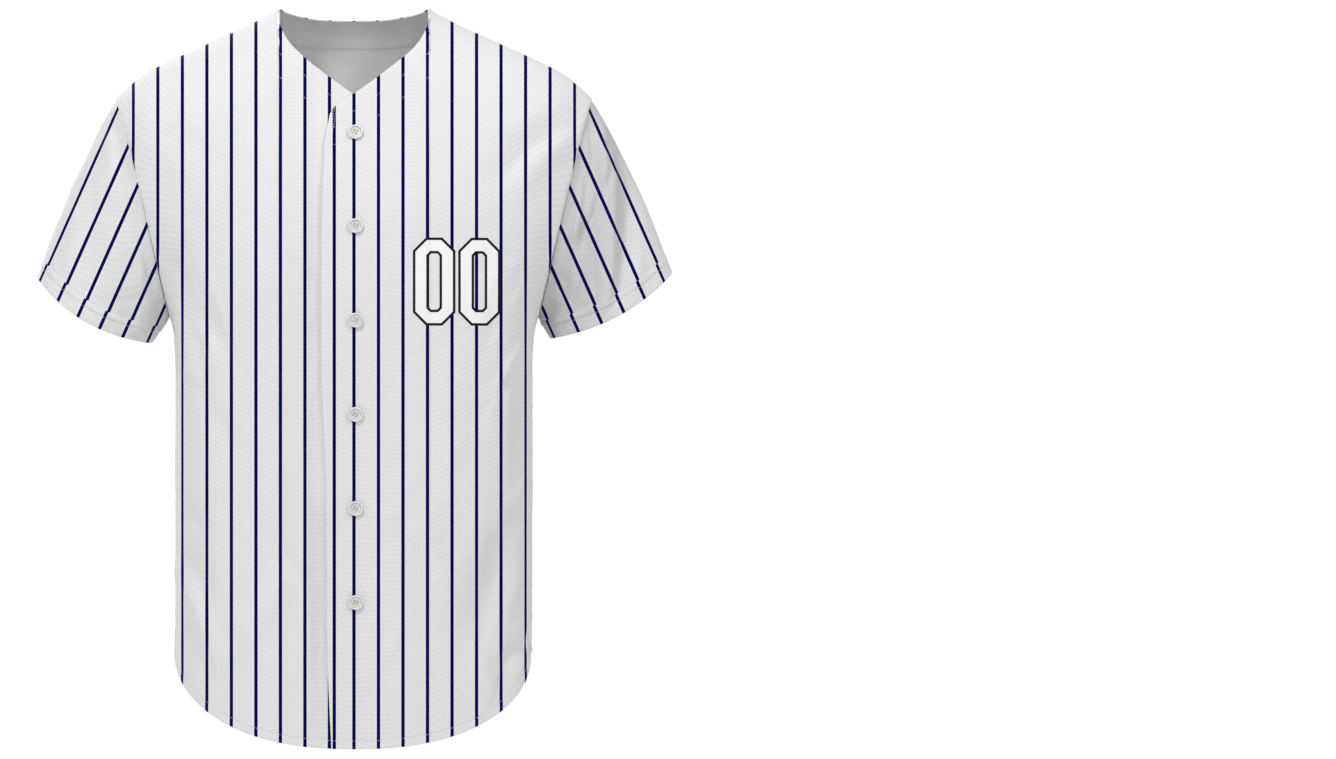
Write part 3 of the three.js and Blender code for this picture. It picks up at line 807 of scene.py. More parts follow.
def number_group() -> bpy.types.NodeTree:
    """Make the group for a plain block number of two noughts, seen from the front.

    Each nought lies between two oblongs with cut corners. An oblong's distance is the
    greatest of its distances past the sides, the ends and the cut corners.
    """
    inputs = {"Place": (0.0, 0.0, 0.0), **dict.fromkeys(NUMBER_INPUTS, 0.0)}
    group, n, source, out = new_group("block_number", inputs, ("Fill", "Outline"))
    parts = n.parts(source["Place"])
    from_middle = n.math("ABSOLUTE", n.math("SUBTRACT", parts["X"], source["Centre X"]))
    x = n.math("ABSOLUTE", n.math("SUBTRACT", from_middle, source["Apart"]))
    z = n.math("ABSOLUTE", n.math("SUBTRACT", parts["Z"], source["Centre Z"]))

    def oblong(inset: object, corner: float) -> Socket:
        """Return the distance past an oblong that is inset from the outer one."""
        wide = n.math("SUBTRACT", source["Half Width"], inset)
        high = n.math("SUBTRACT", source["Half Height"], inset)
        past = n.math("MAXIMUM", n.math("SUBTRACT", x, wide), n.math("SUBTRACT", z, high))
        cut = n.math("MULTIPLY", wide, corner)
        reach = n.math("SUBTRACT", n.math("ADD", wide, high), cut)
        slant = n.math("MULTIPLY", n.math("SUBTRACT", n.math("ADD", x, z), reach), 0.7071)
        return n.math("MAXIMUM", past, slant)

    def inside(distance: object) -> Socket:
        """Return the mask of where a distance is below zero, soft over 0.3 mm."""
        return n.math("SUBTRACT", 0.5, n.math("DIVIDE", distance, 0.3 * MM), clamp=True)

    inner = oblong(source["Stroke"], 0.5)
    ring = n.math("MAXIMUM", oblong(0.0, 0.62), n.math("MULTIPLY", inner, -1.0))
    fill = inside(ring)
    whole = inside(n.math("SUBTRACT", ring, source["Outline"]))
    n.put(out["Fill"], fill)
    n.put(out["Outline"], n.math("SUBTRACT", whole, fill, clamp=True))
    return group


@dataclass
class FinishGroups:
    """The node groups that the finishes share."""

    weave: bpy.types.NodeTree = field(default_factory=weave_group)
    stripes: bpy.types.NodeTree = field(default_factory=stripe_group)
    sewn_line: bpy.types.NodeTree = field(default_factory=groove_group)
    tone: bpy.types.NodeTree = field(default_factory=tone_group)
    number: bpy.types.NodeTree = field(default_factory=number_group)


def new_material(name: str) -> tuple[bpy.types.Material, Nodes, bpy.types.Node]:
    """Make a material and return it with its nodes and its Principled shader."""
    material = bpy.data.materials.new(name)
    material.use_nodes = True
    nodes = Nodes(material.node_tree)
    return material, nodes, material.node_tree.nodes["Principled BSDF"]


@dataclass(frozen=True)
class MeshCloth:
    """A finish of knitted mesh cloth, over the colour that each kind of it has.

    A sewn line is the field it is measured in, its distance, its width and its depth.
    """

    name: str
    groups: FinishGroups
    roughness: float = 0.86
    fuzz: float = 0.1
    specular: float = 0.05
    dot_height: float = 0.18
    rumple_height: float = 1.3
    relief: float = 0.8
    sewn: tuple[tuple[str, float, float, float], ...] = ()

    def colour(self, n: Nodes, place: object, dots: object) -> Socket:
        """Return the colour of this kind of cloth."""
        raise NotImplementedError

    def material(self) -> bpy.types.Material:
        """Build the material: the kind's colour, uneven in tone, with the mesh's relief.

        The relief is the dots and the rumples, less a groove along each sewn line.
        """
        material, n, shader = new_material(self.name)
        cloth = n.add("ShaderNodeUVMap", uv_map="cloth").outputs[0]
        place = n.add("ShaderNodeTexCoord").outputs["Object"]
        weave = n.group(self.groups.weave, {"Cloth": cloth})
        tone = n.group(self.groups.tone, {"Place": place})
        colour = self.colour(n, place, weave["Dots"])
        toned = n.vector("SCALE", "Vector", {0: colour, "Scale": tone["Tone"]})
        n.put(shader.inputs["Base Color"], toned)
        fuzz = n.math("MULTIPLY", weave["Fuzz"], self.fuzz)
        n.put(shader.inputs["Roughness"], n.math("ADD", self.roughness - self.fuzz / 2, fuzz))
        shader.inputs["Specular IOR Level"].default_value = self.specular
        height = n.math("MULTIPLY", weave["Height"], self.dot_height)
        rumple = n.math("MULTIPLY", tone["Rumple"], self.rumple_height)
        height = n.math("ADD", height, rumple)
        for attribute, at, width, depth in self.sewn:
            inputs = {"Distance": n.attribute(attribute), "At": at, "Width": width}
            groove = n.group(self.groups.sewn_line, inputs)["Groove"]
            height = n.math("SUBTRACT", height, n.math("MULTIPLY", groove, depth))
        n.bump(shader, height, MM, self.relief)
        return material


@dataclass(frozen=True)
class StripedCloth(MeshCloth):
    """White mesh cloth with fine navy stripes, read from the piece's own fields.

    The stripes may jog where a field is small, and painted shade may darken the cloth towards its
    seams, standing in for the shadow beside the body.
    """

    white: Colour = (0.83, 0.83, 0.825, 1.0)
    bright: Colour = (0.93, 0.93, 0.925, 1.0)
    navy: Colour = (0.0006, 0.0008, 0.078, 1.0)
    ink: Colour = (0.012, 0.012, 0.012, 1.0)
    dot_tint: Colour = (0.42, 0.42, 0.44, 1.0)
    dot_share: float = 0.2
    halo_share: float = 0.85
    number: NumberPlace | None = None
    jog: float = 0.0
    jog_at: float = 19.5
    jog_from: str = "hem"
    # Painted shade: the grey that the cloth turns towards near its seam.
    seam_shade_grey: Colour = (0.35, 0.35, 0.35, 1.0)
    seam_painted_shade: float = 0.0
    seam_reach: float = 110.0
    seam_growth: float = 1.7

    def colour(self, n: Nodes, place: object, dots: object) -> Socket:
        """Return the white with its dots, painted seam shade, stripes and, where asked for, a
        number.
        """
        count = n.attribute("stripe")
        if self.jog:
            low = n.math("LESS_THAN", n.attribute(self.jog_from), self.jog_at)
            count = n.math("ADD", count, n.math("MULTIPLY", low, self.jog))
        inputs = {"Number": count, "Spacing": n.attribute("spacing")}
        lines = n.group(self.groups.stripes, inputs)
        halo = n.math("MULTIPLY", lines["Halo"], self.halo_share)
        colour = n.mix(halo, self.white, self.bright)
        colour = n.mix(n.math("MULTIPLY", dots, self.dot_share), colour, self.dot_tint)
        # Painted shade: grey mixed in near the armhole seam, in place of the shadow that the body
        # casts there.
        if self.seam_painted_shade:
            away = n.math("DIVIDE", n.attribute("seam"), self.seam_reach)
            near = n.math("SUBTRACT", 1.0, away)
            near = n.math("MULTIPLY", near, self.seam_growth, clamp=True)
            colour = n.mix(n.math("MULTIPLY", near, self.seam_painted_shade), colour, self.seam_shade_grey)
        colour = n.mix(lines["Stripe"], colour, self.navy)
        if self.number is None:
            return colour
        masks = n.group(self.groups.number, {"Place": place, **self.number.inputs()})
        colour = n.mix(masks["Fill"], colour, self.bright)
        return n.mix(masks["Outline"], colour, self.ink)


@dataclass(frozen=True)
class PlainCloth(MeshCloth):
    """The plain inner side of the mesh cloth: no stripes, with painted light and shade: paler at
    the neck than below.
    """

    roughness: float = 0.9
    specular: float = 0.2
    dot_height: float = 0.14
    rumple_height: float = 1.0
    # Painted light and shade: paler near the neck, where the inside lies in shadow, and duller
    # below.
    white: Colour = (0.95, 0.95, 0.945, 1.0)
    painted_shade_tone: Colour = (0.76, 0.76, 0.755, 1.0)
    dot_tint: Colour = (0.4, 0.4, 0.42, 1.0)
    dot_share: float = 0.1
    painted_shade_z: float = -0.085
    painted_light_z: float = -0.02

    def colour(self, n: Nodes, place: object, dots: object) -> Socket:
        """Return the cloth's painted light near the neck or painted shade below, by its height,
        with the dots over it.
        """
        near_neck = n.step(n.parts(place)["Z"], self.painted_shade_z, self.painted_light_z)
        colour = n.mix(near_neck, self.painted_shade_tone, self.white)
        return n.mix(n.math("MULTIPLY", dots, self.dot_share), colour, self.dot_tint)


@dataclass(frozen=True)
class SewingThread:
    """White spun thread with a fine twist."""

    name: str
    white: Colour = (0.80, 0.80, 0.80, 1.0)
    grey: Colour = (0.55, 0.55, 0.56, 1.0)

    def material(self) -> bpy.types.Material:
        """Build the material: white, with a fine noise in tone and bump for the twist."""
        material, n, shader = new_material(self.name)
        place = n.add("ShaderNodeTexCoord").outputs["Object"]
        twist = n.noise(place, 2600.0, 2.0)
        share = n.math("MULTIPLY", twist, 0.25)
        n.put(shader.inputs["Base Color"], n.mix(share, self.white, self.grey))
        shader.inputs["Roughness"].default_value = 0.7
        n.bump(shader, twist, 0.0001, 0.6)
        return material


@dataclass(frozen=True)
class ButtonPlastic:
    """Pale moulded plastic, softly glossy, with faint swirls, and painted shade in its dish, holes
    and edge.
    """

    name: str
    pale: Colour = (0.93, 0.93, 0.92, 1.0)
    deep: Colour = (0.85, 0.85, 0.84, 1.0)
    painted_shade: Colour = (0.22, 0.22, 0.22, 1.0)
    painted_shade_share: float = 0.55

    def material(self) -> bpy.types.Material:
        """Build the material: swirled pale plastic with fine scratches in its gloss."""
        material, n, shader = new_material(self.name)
        place = n.add("ShaderNodeTexCoord").outputs["Object"]
        swirl = n.noise(place, 160.0, 4.0, Distortion=1.2)
        colour = n.mix(n.step(swirl, 0.35, 0.7), self.pale, self.deep)
        # Painted shade: the shade attribute darkens the dish, its step, the rim's outer edge and
        # the holes.
        shade = n.math("MULTIPLY", n.attribute("shade"), self.painted_shade_share, clamp=True)
        n.put(shader.inputs["Base Color"], n.mix(shade, colour, self.painted_shade))
        wear = n.noise(place, 900.0, 4.0)
        n.put(shader.inputs["Roughness"], n.math("ADD", 0.26, n.math("MULTIPLY", wear, 0.22)))
        shader.inputs["Coat Weight"].default_value = 0.08
        shader.inputs["Coat Roughness"].default_value = 0.15
        n.bump(shader, wear, 0.00004, 0.5)
        return material


@dataclass(frozen=True)
class PictureView:
    """The photograph's two views: where a place on the jersey falls in the picture."""

    front_centre_x: float = 354.0
    back_centre_x: float = 998.5
    centre_y: float = 379.5
    axis_z: float = -384.5
    scale: float = 1.035
    distance: float = 4800.0

    def place(self, face: Face, points: Array) -> tuple[Array, Array]:
        """Return the picture place, across and down, of points in the view of a face."""
        sign = -face.value
        centre = self.front_centre_x if face is Face.FRONT else self.back_centre_x
        near = self.distance / (self.distance + sign * points[..., 1]) / self.scale
        across = centre + sign * points[..., 0] * near
        return across, self.centre_y - (points[..., 2] - self.axis_z) * near


@dataclass(frozen=True)
class StripeRule:
    """Where the stripes of the body run: even in the picture, then even round the side."""

    spacing: float = 25.1
    spread: float = 0.42
    least_slope: float = 0.05
    most_stretch: float = 6.0
    picture_spacing: float = 24.53
    front_first: float = 133.3
    back_middle: float = 998.6
    placket_shift: float = 0.196
    placket_number: float = 8.55
    placket_over: float = 0.25
    turned_from: float = 0.953
    turned_over: float = 0.035

    def numbers(self, points: Array, across: Array, sideways: Array) -> Array:
        """Carry the picture's stripe numbers on round the sides of the body.

        Args:
            points: Grid of points; its columns run outwards from the middle.
            across: Stripe numbers as the picture gives them.
            sideways: How far each normal points to the side, from 0 to 1.

        Returns:
            Stripe numbers that keep their spacing on the cloth round the side.
        """
        turned = smooth((sideways - self.turned_from) / self.turned_over)
        step = np.linalg.norm(np.diff(points, axis=1), axis=-1) / self.spacing
        flat = np.diff(across, axis=1)
        sign = np.where(np.median(flat) < 0, -1.0, 1.0)
        share = (turned[:, 1:] + turned[:, :-1]) / 2
        grown = np.cumsum(lerp(flat, sign * step, share), axis=1)
        return np.concatenate([across[:, :1], across[:, :1] + grown], axis=1)

    def widths(self, points: Array, numbers: Array) -> Array:
        """Return the spacing in millimetres that sets the stripes' width over a grid.

        The cloth's own spacing is one over the slope of the numbers, from both ways of the
        grid and the angle between them. Where the picture's stripes fall on steep cloth it
        is large; the power spread sets how much of that the stripes' width takes.
        """
        down, along = np.gradient(points, axis=0), np.gradient(points, axis=1)
        rise, run = np.gradient(numbers, axis=0), np.gradient(numbers, axis=1)
        dd, aa, da = (down**2).sum(-1), (along**2).sum(-1), (down * along).sum(-1)
        area = np.maximum(dd * aa - da**2, 0.02 * dd * aa)
        slope = np.maximum(rise**2 * aa - 2 * rise * run * da + run**2 * dd, 0.0) / area
        relative = np.maximum(np.sqrt(slope) * self.spacing, self.least_slope)
        return self.spacing * np.clip(1 / relative, 1.0, self.most_stretch) ** self.spread


OUTLINE = BodyOutline()
VIEW = PictureView()
STRIPES = StripeRule()

# Distances in from an edge of the first points of a grid, in millimetres.
FINE_ENDS = (0.0, 0.5, 1.1, 1.9, 3.0, 4.6)

# The front's neck edge from the opening outwards: x, z, and x of the same column at the hem.
FRONT_NECK = np.array(
    [
        *[(-23.8, -114.2, -22.5), (-16.3, -104.8, -12.0), (1.0, -93.4, 1.0)],
        *[(24.1, -76.9, 15.0), (40.0, -64.3, 29.0), (56.0, -51.0, 42.0)],
        *[(68.5, -36.5, 54.0), (77.2, -17.0, 66.0), (77.0, 0.0, 77.0)],
    ]
)

# The opening's edge from the top down: z and x.
OPENING_EDGE = np.array(
    [
        *[(-114, -23.8), (-142, -29.4), (-204, -32.0), (-304, -32.6)],
        *[(-388, -32.2), (-488, -28.0), (-668, -26.7), (-757, -22.5)],
    ]
)

# The creases of each half of the body; x and z are the jersey's own on both faces.
BODY_FOLDS = {
    (Face.FRONT, Side.LEFT): [
        Fold(222, -122, 152, -176, -4.0, 12, bow=6, lean=0.3),
        Fold(206, -150, 168, -196, 2.6, 12, bow=4),
        Fold(196, -96, 150, -128, 1.4, 13, bow=-4),
        Fold(160, -540, 138, -634, -6.5, 22, bow=-5, lean=-0.2, hat=0.1),
        Fold(150, -530, 122, -650, -4.4, 24, bow=-4, lean=-0.3),
        Fold(96, -575, 168, -668, -7.0, 40, bow=6, hat=0.1),
        Fold(82, -558, 116, -634, 3.0, 13, bow=5, lean=0.4),
        Fold(168, -384, 164, -486, -2.2, 11, bow=-3),
        Fold(172, -500, 128, -560, 2.8, 13, bow=5),
        Fold(150, -676, 184, -650, -3.4, 9, bow=2),
        Fold(166, -590, 158, -640, 2.4, 9, bow=-2),
        Fold(128, -640, 140, -712, 2.2, 11, bow=3),
        Fold(180, -650, 156, -696, -2.6, 10, bow=3),
        Fold(168, -380, 166, -480, -2.2, 9, bow=-3),
        Fold(152, -360, 146, -500, 1.6, 12, bow=-6),
        Fold(96, -420, 112, -560, 1.6, 11, bow=5),
        Fold(126, -420, 138, -540, -1.4, 10, bow=4),
        Fold(66, -500, 60, -640, -1.4, 13, bow=-5),
        Fold(40, -330, 52, -520, -0.9, 14, bow=-6),
    ],
    (Face.FRONT, Side.RIGHT): [
        Fold(-170, -258, -176, -318, -4.4, 13, bow=3),
        Fold(-184, -262, -130, -352, -2.2, 11, bow=-6, lean=0.3),
        Fold(-176, -330, -150, -412, 2.8, 9, bow=6),
        Fold(-162, -350, -132, -440, -2.4, 10, bow=7),
        Fold(-55, -124, -54, -420, 2.4, 8, bow=2),
        Fold(-38, -124, -37, -420, -3.0, 7),
        Fold(-54, -490, -49, -752, 3.2, 9, bow=-2),
        Fold(-37, -490, -32, -752, -4.0, 8),
        Fold(-60, -579, -106, -651, 2.2, 15, bow=4),
        Fold(-96, -560, -74, -610, -1.6, 14),
        Fold(-60, -580, -112, -660, 1.8, 12, bow=5),
        Fold(-176, -380, -150, -404, -2.0, 8),
        Fold(-178, -508, -150, -540, -2.4, 9, bow=3),
        Fold(-166, -540, -152, -606, -4.6, 19, bow=3, hat=0.1),
        Fold(-174, -566, -150, -596, -2.6, 8, bow=3),
        Fold(-172, -604, -144, -672, 2.4, 7, bow=-4, lean=0.3),
        Fold(-178, -296, -160, -372, 2.2, 7, bow=3),
        Fold(-178, -588, -138, -668, 2.8, 10, bow=-5, lean=0.3),
        Fold(-176, -640, -136, -684, -3.0, 11, bow=6),
        Fold(-100, -420, -112, -600, 1.2, 14, bow=-7),
        Fold(-126, -440, -124, -590, -1.3, 12, bow=4),
        Fold(-214, -128, -160, -150, -1.6, 13, bow=-4),
    ],
    (Face.BACK, Side.LEFT): [
        Fold(117, -216, 119, -400, 2.8, 12, bow=-3, lean=0.3),
        Fold(119, -400, 156, -632, 3.6, 12, bow=8, lean=0.4),
        Fold(134, -420, 160, -500, -4.2, 12, bow=4, lean=-0.3),
        Fold(136, -620, 140, -692, -4.2, 14, bow=-3),
        Fold(96, -300, 104, -470, -1.6, 13, bow=4),
        Fold(80, -520, 108, -640, 1.6, 13, bow=-5),
        Fold(60, -600, 88, -700, -1.8, 13, bow=5),
        Fold(176, -330, 150, -420, -2.2, 11, bow=6),
    ],
    (Face.BACK, Side.RIGHT): [
        Fold(-142, -300, -150, -720, -5.2, 16, bow=6, lean=0.35),
        Fold(-122, -330, -118, -560, 2.4, 12, bow=-5),
        Fold(-168, -340, -170, -520, 2.2, 11, bow=4),
        Fold(-96, -440, -104, -650, -1.6, 14, bow=5),
        Fold(-180, -300, -132, -352, -2.0, 11, bow=6),
        Fold(-70, -560, -84, -700, 1.6, 13, bow=-4),
        Fold(-206, -140, -152, -170, -1.7, 13, bow=4),
    ],
}
BODY_SPRAYS = {
    (Face.FRONT, Side.LEFT): [
        FoldSpray(11, 7, 158, -340, 22, 60, 58, 22, 90, 1.9, 8),
        FoldSpray(12, 10, 100, -600, 75, 100, 76, 26, 110, 1.7, 9),
        FoldSpray(13, 7, 95, -240, 75, 90, 46, 40, 80, 0.9, 11),
    ],
    (Face.FRONT, Side.RIGHT): [
        FoldSpray(21, 8, -158, -345, 22, 70, -58, 24, 90, 1.9, 8),
        FoldSpray(22, 10, -105, -600, 75, 100, -76, 26, 110, 1.7, 9),
        FoldSpray(23, 7, -95, -240, 75, 90, -46, 40, 80, 0.9, 11),
    ],
    (Face.BACK, Side.LEFT): [
        FoldSpray(31, 8, 150, -350, 26, 70, 60, 24, 95, 2.0, 8),
        FoldSpray(32, 11, 80, -560, 90, 130, 78, 22, 130, 1.8, 10),
        FoldSpray(33, 6, 90, -200, 80, 70, 20, 40, 80, 0.9, 11),
    ],
    (Face.BACK, Side.RIGHT): [
        FoldSpray(41, 8, -150, -350, 26, 70, -60, 24, 95, 2.0, 8),
        FoldSpray(42, 11, -80, -560, 90, 130, -78, 22, 130, 1.8, 10),
        FoldSpray(43, 6, -90, -200, 80, 70, -20, 40, 80, 0.9, 11),
    ],
}


@dataclass
class BodyPanel:
    """A front or the back: its surface, its stripes, its folds and its edges."""

    name: str
    face: Face
    step: float = 2.9
    middle_step: float = 2.61
    hem_width: float = 8.0
    hem_ply: float = 0.38
    hem_groove: float = 0.32
    edge_roll: float = 0.55
    edge_soft: float = 1.3
    seam_fade: float = 13.0
    seam_swell: float = 0.28
    pucker: float = 0.32
    long_wave: float = 0.9
    rumple: float = 0.35
    fine_rumple: float = 0.08
    back_neck_drop: float = 7.4
    back_neck_columns: float = 6.0
    neck_stitches: tuple[float, ...] = ()
    lip_rows: int = 0

    @property
    def neck_columns(self) -> float:
        """Return how many columns hang from the neck edge."""
        return len(FRONT_NECK) - 1.0 if self.face is Face.FRONT else self.back_neck_columns

    def neck_rows(self, column: Array) -> Array:
        """Return x, z and the hem's x of the neck edge at columns from 0 outwards."""
        held = np.clip(column, 0.0, self.neck_columns)
        if self.face is Face.FRONT:
            return curve_through(FRONT_NECK, held)
        share = held / self.back_neck_columns
        x = OUTLINE.neck_half * share
        return np.stack([x, -self.back_neck_drop * (1 - share**3), x], axis=-1)

    def surface(self, row: Array, column: Array) -> Array:
        """Work out the wearer's left half of the panel, without its folds.

        Down each column the place runs from the neck edge or the shoulder seam to the hem,
        by the share that the outer edge has fallen at that row.

        Args:
            row: Row numbers from 0 at the top.
            column: Column numbers, from 0 at the middle outwards.

        Returns:
            Grid of points.
        """
        row, column = row[:, None], column[None, :]
        edge = OUTLINE.outer_edge(row)
        down = (edge["z"] - OUTLINE.tip_z) / (OUTLINE.side_hem_z - OUTLINE.tip_z)
        neck = self.neck_rows(column)
        outward = np.clip(column - self.neck_columns, 0.0, OUTLINE.shoulder_columns)
        share = OUTLINE.hem_share(outward)
        half = OUTLINE.neck_half
        over = outward / OUTLINE.shoulder_columns
        at_neck = column <= self.neck_columns
        neck_x = lerp(neck[..., 0], neck[..., 2], down)
        x = np.where(at_neck, neck_x, lerp(half, edge["x"], lerp(over, share, down)))
        top_x = lerp(half, OUTLINE.tip_x, over)
        top_z = np.where(at_neck, neck[..., 1], OUTLINE.shoulder_height(top_x))
        hem_x = np.where(at_neck, neck[..., 2], lerp(half, OUTLINE.side_half, share))
        z = lerp(top_z, OUTLINE.hem_height(hem_x), down)
        if self.face is Face.FRONT:
            table = OPENING_EDGE[::-1]
            wanted = np.interp(z[:, :1], table[:, 0], table[:, 1])
            fade = np.clip(1 - column / self.neck_columns, 0.0, 1.0)
            x = x + (wanted - x[:, :1]) * fade
        depth = OUTLINE.body_depth(self.face, x, z, edge)
        return np.stack([x, self.face.value * depth, z], axis=-1)

    def rows_and_columns(self) -> tuple[Array, Array]:
        """Choose rows and columns at even steps of cloth, closer beside the edges."""
        q = np.linspace(0, 1, 1600)
        rows = OUTLINE.rows * (0.05 * q + 0.95 * q**2)
        last = self.neck_columns + OUTLINE.shoulder_columns
        probes = np.linspace(0, last, 5)
        down = along_steps(self.surface(rows, probes), 0).mean(axis=1)
        row = np.interp(fine_ended(down[-1], self.step, FINE_ENDS), down, rows)
        columns = np.linspace(0, last, 1600)
        across = along_steps(self.surface(np.array([9.0, 15.0, 24.0]), columns), 1).mean(axis=0)
        places = fine_ended(across[-1], self.step, FINE_ENDS)
        if self.face is Face.BACK:
            places = places[(places == 0) | (places > self.middle_step)]
        return row, np.interp(places, across, columns)

    def half_sheet(self, row: Array, column: Array, side: Side) -> tuple[Array, Fields]:
        """Return one half's points, with u along its rows and v down its columns."""
        points = self.surface(row, column) * np.array([side.value, 1.0, 1.0])
        u = side.value * (along_steps(points, 1) + points[:, :1, 0] * side.value)
        return points, {"u": u, "v": along_steps(points, 0)}

    def half_stripes(self, points: Array, sideways: Array, side: Side) -> Array:
        """Number one half's stripes; its columns run outwards from the middle.

        The placket's edge has its own stripe, a fifth of a spacing from its regular place.
        """
        across = VIEW.place(self.face, points)[0]
        if self.face is Face.BACK:
            number = (across - STRIPES.back_middle) / STRIPES.picture_spacing + 0.5
        else:
            number = (across - STRIPES.front_first) / STRIPES.picture_spacing
            if side is Side.LEFT:
                past = smooth((number - STRIPES.placket_number) / STRIPES.placket_over)
                number = number - STRIPES.placket_shift * (1 - past)
        return STRIPES.numbers(points, number, sideways)

    def fold_rise(self, points: Array, sides: list[Side]) -> Array:
        """Return how far the panel's folds and its gentle unevenness stand out.

        The unevenness is long waves that grow below the chest, rumples and fine rumples.
        """
        x, z = points[..., 0], points[..., 2]
        rise = np.zeros(x.shape)
        for side in sides:
            key = (self.face, side)
            own = list(BODY_FOLDS[key])
            for spray in BODY_SPRAYS[key]:
                own += spray.folds()
            rise += sum(fold.height(x, z) for fold in own)
        seed = 5 if self.face is Face.FRONT else 6
        hang = smooth((-z - 120) / 260)
        rise += self.long_wave * hang * soft_relief(x, z, seed, 95, 420, 9)
        rise += self.rumple * soft_relief(x, z, seed + 20, 48, 70, 12)
        rise += self.fine_rumple * soft_relief(x, z, seed + 40, 15, 19, 16)
        return rise

    def finish_edges(self, sheet: Sheet, seams: list[Array], free: list[Array], hem: Array) -> None:
        """Add the seams' puckers, roll the edges and thicken the turned hem.

        A seam's pucker is a ripple along it that dies away over a few millimetres; every
        edge falls by a bell of its distance.
        """
        seam = distance_to_nearest(sheet.points, seams)
        loose = distance_to_nearest(sheet.points, free)
        sheet.fields["seam"] = seam
        z = sheet.points[..., 2] + 0.6 * sheet.points[..., 1]
        ripple = np.sin(z / 1.9) * np.sin(z / 5.3 + 1.0) * bell(seam, 3.5, 4.5)
        roll = self.edge_roll * bell(seam, 0.0, self.edge_soft)
        roll += 0.5 * self.edge_roll * bell(loose, 0.0, self.edge_soft)
        swell = self.seam_swell * bell(seam, 5.0, 3.2)
        turned = self.hem_ply * smooth((self.hem_width + 1.2 - hem) / 1.4)
        groove = self.hem_groove * bell(hem, self.hem_width, 1.1)
        sheet.move_out(self.pucker * ripple + swell + turned - roll - groove)

    def complete(
        self, sheet: Sheet, seams: list[Array], free: list[Array], neck: Array, finishes: list
    ) -> "Garment":
        """Finish the edges, build the wall and find the paths of its stitching.

        Args:
            sheet: The cloth, with its folds and stripes.
            seams: Its edges that are sewn to another piece.
            free: Its loose edges besides the neck's.
            neck: The neck edge.
            finishes: The outer and the inner material.

        Returns:
            The panel, with rows of stitches along the hem and the neck.
        """
        hem = distance_to_line(sheet.points, sheet.points[-1])
        near_neck = distance_to_line(sheet.points, neck)
        sheet.fields.update(hem=hem, neck=near_neck)
        self.finish_edges(sheet, seams, [*free, neck], hem)
        made = ClothWall(lip_rows=self.lip_rows).build(self.name, sheet, finishes)
        LOG.info("%s: %d points, cut %.4f m2", self.name, sheet.points[..., 0].size, sheet.area())
        rows = [sheet.line_where(-hem, -self.hem_width)]
        rows += [sheet.line_where(near_neck, at) for at in self.neck_stitches]
        return Garment(made, sheet, rows)


@dataclass
class FrontPanel(BodyPanel):
    """A front of the body; the wearer's right one dips under the left beside the opening."""

    side: Side = Side.LEFT
    dip: float = 2.8
    dip_from: float = 37.0
    dip_over: float = 20.0
    neck_stitches: tuple[float, ...] = (15.0, 33.0)
    opening_stitches: tuple[float, ...] = (3.2, 5.2)
    stitched_z: tuple[float, float] = (-168.0, -108.0)

    def build(self, finishes: list) -> "Garment":
        """Build the panel's cloth and the paths of its stitching."""
        row, column = self.rows_and_columns()
        points, fields = self.half_sheet(row, column, self.side)
        sheet = Sheet(points, np.array([0.0, -1.0, 0.0]), fields=fields)
        top, last = points[0], points[:, -1]
        neck = top[column <= self.neck_columns + 1e-9]
        seams = [last, top[column >= self.neck_columns - 1e-9]]
        near_seam = distance_to_nearest(points, seams)
        rise = self.fold_rise(points, [self.side]) * smooth(near_seam / self.seam_fade)
        if self.side is Side.RIGHT:
            rise = rise - self.dip * (1 - smooth((-points[..., 0] - self.dip_from) / self.dip_over))
        sideways = np.abs(sheet.normals[..., 0])
        sheet.move_out(rise)
        numbers = self.half_stripes(sheet.points, sideways, self.side)
        opening = sheet.points[:, 0]
        sheet.fields["stripe"] = numbers
        sheet.fields["spacing"] = STRIPES.widths(sheet.points, numbers)
        sheet.fields["opening"] = distance_to_line(sheet.points, opening)
        made = self.complete(sheet, seams, [opening], neck, finishes)
        if self.side is Side.LEFT:
            made.rows += self.opening_rows(sheet)
        return made

    def opening_rows(self, sheet: Sheet) -> list:
        """Return the two short lines of stitching inside the curved top of the opening."""
        z = sheet.points[:, 0, 2]
        line = np.nonzero((z > self.stitched_z[0]) & (z < self.stitched_z[1]))[0]
        rows = []
        for at in self.opening_stitches:
            index = np.argmax(sheet.fields["opening"][line] > at, axis=1)
            rows.append((sheet.points[line, index], sheet.normals[line, index]))
        return rows


